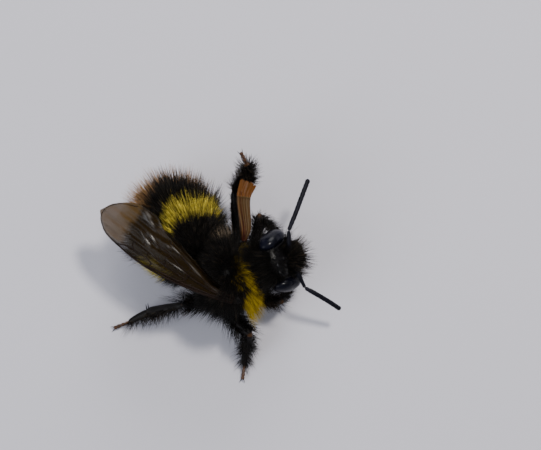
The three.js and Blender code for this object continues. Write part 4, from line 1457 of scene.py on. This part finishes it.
def wing_sheet(name, wing, nodes, count=200, columns=72):
    """The membrane between a wing's edges, with fine folds along it."""
    t = 0.002 + 0.996 * eased(count)
    front, back = wing.width_at(t)
    across = np.linspace(0, 1, columns)
    offset = front[:, None] + (back - front)[:, None] * across
    share = np.repeat(t[:, None], columns, 1)
    folds = 0.04 * np.sin(offset * 5.2 + 2.5 * share) * smooth_step(share, 0.05, 0.3)
    folds += 0.02 * np.sin(offset * 11 - 14 * share) * smooth_step(share, 0.3, 0.8)
    creased = creases(wing, share, offset) if wing is forewing else np.zeros_like(offset)
    folds += creased
    points = wing.at(share, offset, folds).reshape(-1, 3)
    sheet = new_piece(name, (points, grid_faces(count, columns)), WING_SHEET, outward=False)
    thick = 1 - smooth_step(share, 0.72, 0.84) + 0.5 * smooth_step(1 - across, 0.8, 1.0)[None]
    point_values(sheet.data, "smoke", np.clip(thick, 0, 1).reshape(-1))
    point_values(sheet.data, "crease", np.clip(creased / 0.12, 0, 1).reshape(-1))
    thicken(sheet, 0.03)
    return mount(sheet, nodes)


def vein(wing, knots, start, end, height=0.02, steps=40):
    """A vein along the wing through knots of share and offset, with its half widths."""
    flat = along_curve([(share * 10, offset, 0) for share, offset in knots], np.linspace(0, 1, steps))
    line = wing.at(flat[:, 0] / 10, flat[:, 1], height)
    return line, np.linspace(start, end, steps)


# The veins: knots of share and offset, and the half widths at the start and the end.
FORE_VEINS = [
    ([(0.0, -0.42), (0.1, -0.88), (0.3, -1.43), (0.55, -1.78), (0.7, -1.68), (0.81, -1.45)], 0.16, 0.07),
    ([(0.0, -0.3), (0.1, -0.7), (0.3, -1.2), (0.5, -1.5), (0.575, -1.66)], 0.11, 0.09),
    ([(0.8, -1.44), (0.9, -1.1), (0.97, -0.25), (0.972, 0.9), (0.91, 2.1), (0.8, 2.9)], 0.05, 0.03),
    ([(0.56, -1.6), (0.555, -1.2), (0.6, -0.98), (0.68, -0.95), (0.75, -1.1), (0.8, -1.4)], 0.06, 0.065),
    ([(0.37, -1.4), (0.325, -0.9), (0.315, -0.5), (0.33, -0.2)], 0.07, 0.06),
    ([(0.325, -0.75), (0.42, -0.62), (0.55, -0.42), (0.68, -0.15), (0.745, 0.05)], 0.055, 0.03),
    ([(0.595, -0.98), (0.6, -0.65), (0.615, -0.3)], 0.045, 0.04),
    ([(0.69, -0.98), (0.715, -0.55), (0.7, -0.12)], 0.045, 0.04),
    ([(0.48, -0.52), (0.49, 0.0), (0.475, 0.55)], 0.045, 0.04),
    ([(0.645, -0.24), (0.65, 0.3), (0.615, 0.95)], 0.045, 0.035),
    ([(0.0, -0.15), (0.15, -0.42), (0.33, -0.2), (0.46, 0.55), (0.615, 0.95), (0.7, 1.3)], 0.085, 0.03),
    ([(0.0, 0.1), (0.15, -0.05), (0.35, 0.75), (0.52, 1.7)], 0.075, 0.035),
    ([(0.335, -0.18), (0.33, 0.2), (0.325, 0.6)], 0.045, 0.04),
]
HIND_VEINS = [
    ([(0.0, -0.22), (0.3, -0.82), (0.52, -0.84), (0.7, -0.72)], 0.1, 0.04),
    ([(0.0, 0.0), (0.25, -0.1), (0.45, 0.1), (0.62, 0.2), (0.8, 0.35)], 0.07, 0.03),
    ([(0.52, -0.84), (0.56, -0.3), (0.6, 0.2)], 0.045, 0.04),
    ([(0.3, -0.05), (0.36, 0.4), (0.5, 0.9), (0.66, 1.3)], 0.05, 0.03),
    ([(0.0, 0.2), (0.2, 0.4), (0.42, 1.1)], 0.06, 0.03),
]


def make_wings():
    wing_sheet("forewing_right", forewing, ["wing_fore_right"])
    wing_sheet("hindwing_right", hindwing, ["wing_hind_right"], 110, 40)
    for which, wing, drawn in (("fore", forewing, FORE_VEINS), ("hind", hindwing, HIND_VEINS)):
        paths = [vein(wing, knots, start, end) for knots, start, end in drawn]
        mount(rods(f"wing_veins_{which}", paths, WING_VEIN, Sides=8, Step=0.12 * MM))


# The crumpled left wings: the line each follows, its widths at base and tip, and where its veins run.
STUB_KNOTS = {
    "fore": [(1.5, 2.9, 7.9), (1.72, 3.9, 8.5), (1.5, 7.0, 9.2), (2.0, 8.6, 9.75)],
    "hind": [(1.2, 2.9, 7.6), (1.4, 4.0, 8.0), (1.25, 6.2, 8.6), (1.35, 7.6, 8.95)],
}
STUB_WIDTHS = {"fore": (0.4, 1.7), "hind": (0.4, 0.8)}
STUB_RIBS = {"fore": (0.04, 0.2, 0.42, 0.56, 0.71, 0.8, 0.97), "hind": (0.1, 0.5, 0.9)}


def make_stub(which, pleats, seed):
    """A left wing that never unfolded: a pleated strip with a bent, ragged end."""
    rng = np.random.default_rng(seed)
    rows, columns = 90, 60
    t = np.linspace(0.0, 1.0, rows)
    line = along_curve(STUB_KNOTS[which], t)
    _, side, rise = frames_along(line, (0, 0, 1))
    base, tip = STUB_WIDTHS[which]
    half = (base + (tip - base) * t ** 0.8) / 2
    across = np.linspace(-1, 1, columns)
    ragged = 0.03 * np.sin(across * 23 + 2) + 0.035 * np.sin(across * 11) + rng.normal(0, 0.008, columns)
    ragged -= 0.12 * smooth_step(-across, 0.2, 1.0)
    wander = 0.25 * np.sin(t * 5 + 1)[:, None]
    wave = np.cos(np.pi * pleats * (across + 0.12)[None] + 1.1 * np.sin(across * 2.6)[None] + wander)
    depth = 0.035 * smooth_step(t, 0.05, 0.5) * (1 - 0.6 * smooth_step(t, 0.66, 0.72)) + 0.015
    crease = 0.14 * np.exp(-((t - 0.7) / 0.025) ** 2)
    heights = depth[:, None] * wave + crease[:, None]
    heights += 0.16 * smooth_step(t, 0.72, 1.0)[:, None] * np.sin(across * 4.2 + 1.3)[None]
    ahead = np.gradient(line, axis=0) * (rows - 1)
    reach = (ragged * 1.6)[None, :] * smooth_step(t, 0.75, 1.0)[:, None]
    points = (line[:, None] + side[:, None] * (across[None, :] * half[:, None])[..., None]
              + rise[:, None] * heights[..., None]
              + unit(ahead)[:, None] * (reach - 0.1 * t[:, None])[..., None])
    shell = points.reshape(-1, 3), grid_faces(rows, columns)
    stub = new_piece(f"stub_{which}", shell, STUB_SHEET, outward=False)
    smoke = 0.75 * smooth_step(t, 0.68, 0.72)[:, None] + 0.35 * smooth_step(across, -0.1, 0.6)[None]
    smoke = smoke + 0.2 * (wave < -0.4)
    point_values(stub.data, "smoke", smoke.reshape(-1))
    thicken(stub, 0.05)
    mount(stub, [f"wing_{which}_left"])
    ribs = []
    for place_across in STUB_RIBS[which]:
        column = int(place_across * (columns - 1))
        last = int(rows * (0.66 + 0.2 * rng.random()))
        rib = points[:last, column] + rise[:last] * 0.02
        ribs.append((rib[::3], np.linspace(0.055, 0.025, len(rib[::3])) * rng.uniform(0.6, 1.3)))
    veins = rods(f"stub_veins_{which}", ribs, STUB_VEIN, Sides=8, Step=0.1 * MM)
    mount(veins)


make_wings()
make_stub("fore", 4, 41)
make_stub("hind", 2, 42)


def make_tegulae():
    """The small shiny shields over the wing hinges."""
    shells = []
    for at, way in (((0.75, -3.0, 7.75), -1), ((0.85, 2.85, 7.6), 1)):
        scale = ball_rings(20, 30) * np.array([0.6, 0.42, 0.25])
        shells.append(closed_shell(scale @ turn("X", -way * 38).T @ turn("Z", way * 10).T + np.array(at)))
    mount(new_piece("wing_shields", joined(*shells), LEG_CUTICLE))


make_tegulae()

# ---------------------------------------------------------------- leg hair

FRINGE = {"hind": 1.0, "middle": 0.9, "fore": 0.6}  # how far the hair of each pair of legs is grown
PALE_SHARE = {"middle_left": 0.6, "fore_right": 0.4, "hind_right": 0.35}  # where it isn't the usual one; the paler tips are partly real, partly painted highlight
USUAL_PALE_SHARE = 0.12


def nearest_length(points, joints):
    """Which length of a leg points are nearest, counted from the hip, and which way it runs."""
    middles = (joints[1:] + joints[:-1]) / 2
    directions = unit(joints[1:] - joints[:-1])
    reach = np.linalg.norm(joints[1:] - joints[:-1], axis=1) / 2
    local = points[:, None] - middles[None]
    along = np.clip((local * directions[None]).sum(2), -reach, reach)
    which = np.linalg.norm(local - along[..., None] * directions[None], axis=2).argmin(1)
    return which, directions[which]


def leg_hair_lengths(leg_name, normals, thigh, shin):
    """Short hair with longer fringes below the thigh and along the shin. Hind shins are bare inside."""
    fringe = FRINGE[leg_name.split("_")[0]]
    down = -normals[:, 2]
    below = smooth_step(down, -0.1, 0.8)
    edge = 1 - smooth_step(np.abs(down), 0.3, 0.8)
    length = 0.4 + fringe * ((0.4 + 1.1 * below) * thigh + (0.2 + 0.8 * edge + 0.4 * below) * shin)
    outward = normals[:, 1] * (1 if leg_name.endswith("left") else -1)
    if leg_name == "middle_left":
        length = np.where(shin, 1.25, 0.35)
    if leg_name.startswith("hind"):
        length = np.where(shin, 0.1 + 1.45 * smooth_step(outward, 0.0, 0.7), length)
    if leg_name == "hind_right":
        backward = -0.7 * normals[:, 0] + 0.7 * normals[:, 1]
        length = np.where(thigh, length + 1.0 * smooth_step(backward, 0.0, 0.8), length)
    if leg_name == "fore_right":
        length = np.where(thigh, length + 0.1, 0.8 * length)
    if leg_name == "middle_right":
        length = np.where(thigh, length + 0.7 * smooth_step(-normals[:, 0], -0.3, 0.7), length)
    return length


def leg_hair(name, pairs, seed):
    """The hair of one or two pairs of legs, thin at the knees. On hind shins it stands out straighter."""
    rng = np.random.default_rng(seed)
    coat = Coat()
    for number, (leg_name, leg) in enumerate(legs.items()):
        pair = leg_name.split("_")[0]
        if pair not in pairs:
            continue
        joints = np.array(LEG_JOINTS[leg_name][:5], float)
        knee = joints[2]
        count = int(1700 + 900 * FRINGE[pair])
        off_knee = lambda points: 0.15 + 0.85 * smooth_step(np.linalg.norm(points - knee, axis=1), 0.35, 0.7)
        roots, normals = scatter(mesh_surface(leg.data), off_knee, count, rng)
        which, flow = nearest_length(roots, joints)
        shin = which >= 2
        lengths = leg_hair_lengths(leg_name, normals, which <= 1, shin)
        basket = shin & (pair == "hind")
        lean_in = stray(normals * 0.9 + flow * 0.4, 0.14, rng)
        out_share = np.where(basket, 0.95, 0.6)[:, None]
        flow_share = np.where(basket, 0.4, 0.75)[:, None]
        aim = stray(normals * out_share + flow * flow_share, 0.2, rng)
        tints = black_hair(rng, count, PALE_SHARE.get(leg_name, USUAL_PALE_SHARE))
        if leg_name == "fore_right":
            dusty = (rng.random(count) < 0.6)[:, None]
            tints = tints[0], np.where(dusty, shade(DUSTY_TIP, rng, count), tints[1])
        spread = (number + which / 4.0 + 0.12 * rng.random(count)) / 6.2
        atlas = np.stack([spread, rng.random(count) * 0.9], 1)
        grow(coat, roots, normals, lean_in, aim, lengths, tints, atlas, rng,
             per_tuft=6, pull=0.5, guard=0.35, width=0.042)
    return coat.piece(name, "leg")


leg_hair("coat_legs_rear", ("hind",), 51)
leg_hair("coat_legs_front", ("fore", "middle"), 52)

# ---------------------------------------------------------------- floor, lights and camera

FLOOR_REACH = 0.6  # in metres


def make_floor():
    mesh = bpy.data.meshes.new("floor")
    corners = [(x * FLOOR_REACH, y * FLOOR_REACH, 0) for x, y in ((-1, -1), (1, -1), (1, 1), (-1, 1))]
    mesh.from_pydata(corners, [], [(0, 1, 2, 3)])
    floor = add_object("floor", mesh)
    made = Finish("plain_floor", Roughness=0.8, Specular_IOR_Level=0.2)
    made.shader.inputs["Base Color"].default_value = (0.5, 0.49, 0.54, 1)
    mesh.materials.append(made.material)


def area_light(name, at, aim, size, power, colour):
    light = bpy.data.lights.new(name, "AREA")
    light.shape = "DISK"
    light.size = size
    light.energy = power
    light.color = colour
    lamp = add_object(name, light)
    lamp.location = at
    lamp.rotation_euler = (Vector(aim) - Vector(at)).to_track_quat("-Z", "Y").to_euler()


CAMERA_ELEVATION = 80
CAMERA_DISTANCE = 0.225  # in metres, from the point it looks at
CAMERA_SHIFT = (4.15, 4.7)  # how far to the right of and above the thorax that point lies in the view


def make_camera():
    """A camera that looks down on the bee from its right side. Tells the point it looks at."""
    elevation = math.radians(CAMERA_ELEVATION)
    right = Vector((1, 0, 0))
    up = Vector((0, math.sin(elevation), math.cos(elevation)))
    back = Vector((0, -math.cos(elevation), math.sin(elevation)))
    middle = Vector(place((0, 0, THORAX_HEIGHT)))
    aim = middle + (CAMERA_SHIFT[0] * right + CAMERA_SHIFT[1] * up) * MM
    lens = bpy.data.cameras.new("camera")
    lens.lens = 100
    lens.sensor_width = 24
    lens.clip_start = 0.001
    camera = add_object("camera", lens)
    camera.location = aim + back * CAMERA_DISTANCE
    camera.rotation_euler = (aim - camera.location).to_track_quat("-Z", "Y").to_euler()
    bpy.context.scene.camera = camera
    return aim


def make_light(aim):
    world = bpy.data.worlds.new("studio")
    world.use_nodes = True
    sky = world.node_tree.nodes["Background"]
    sky.inputs["Color"].default_value = (0.86, 0.9, 1.0, 1)
    sky.inputs["Strength"].default_value = 0.42
    bpy.context.scene.world = world
    area_light("key", aim + Vector((0.10, 0.10, 0.30)), aim, 0.05, 1.1, (1.0, 0.96, 0.9))
    area_light("fill", aim + Vector((-0.25, -0.12, 0.22)), aim, 0.25, 0.8, (0.9, 0.94, 1.0))
    area_light("back", aim + Vector((0.05, 0.30, 0.12)), aim, 0.2, 0.7, (1.0, 1.0, 1.0))


make_floor()
make_light(make_camera())
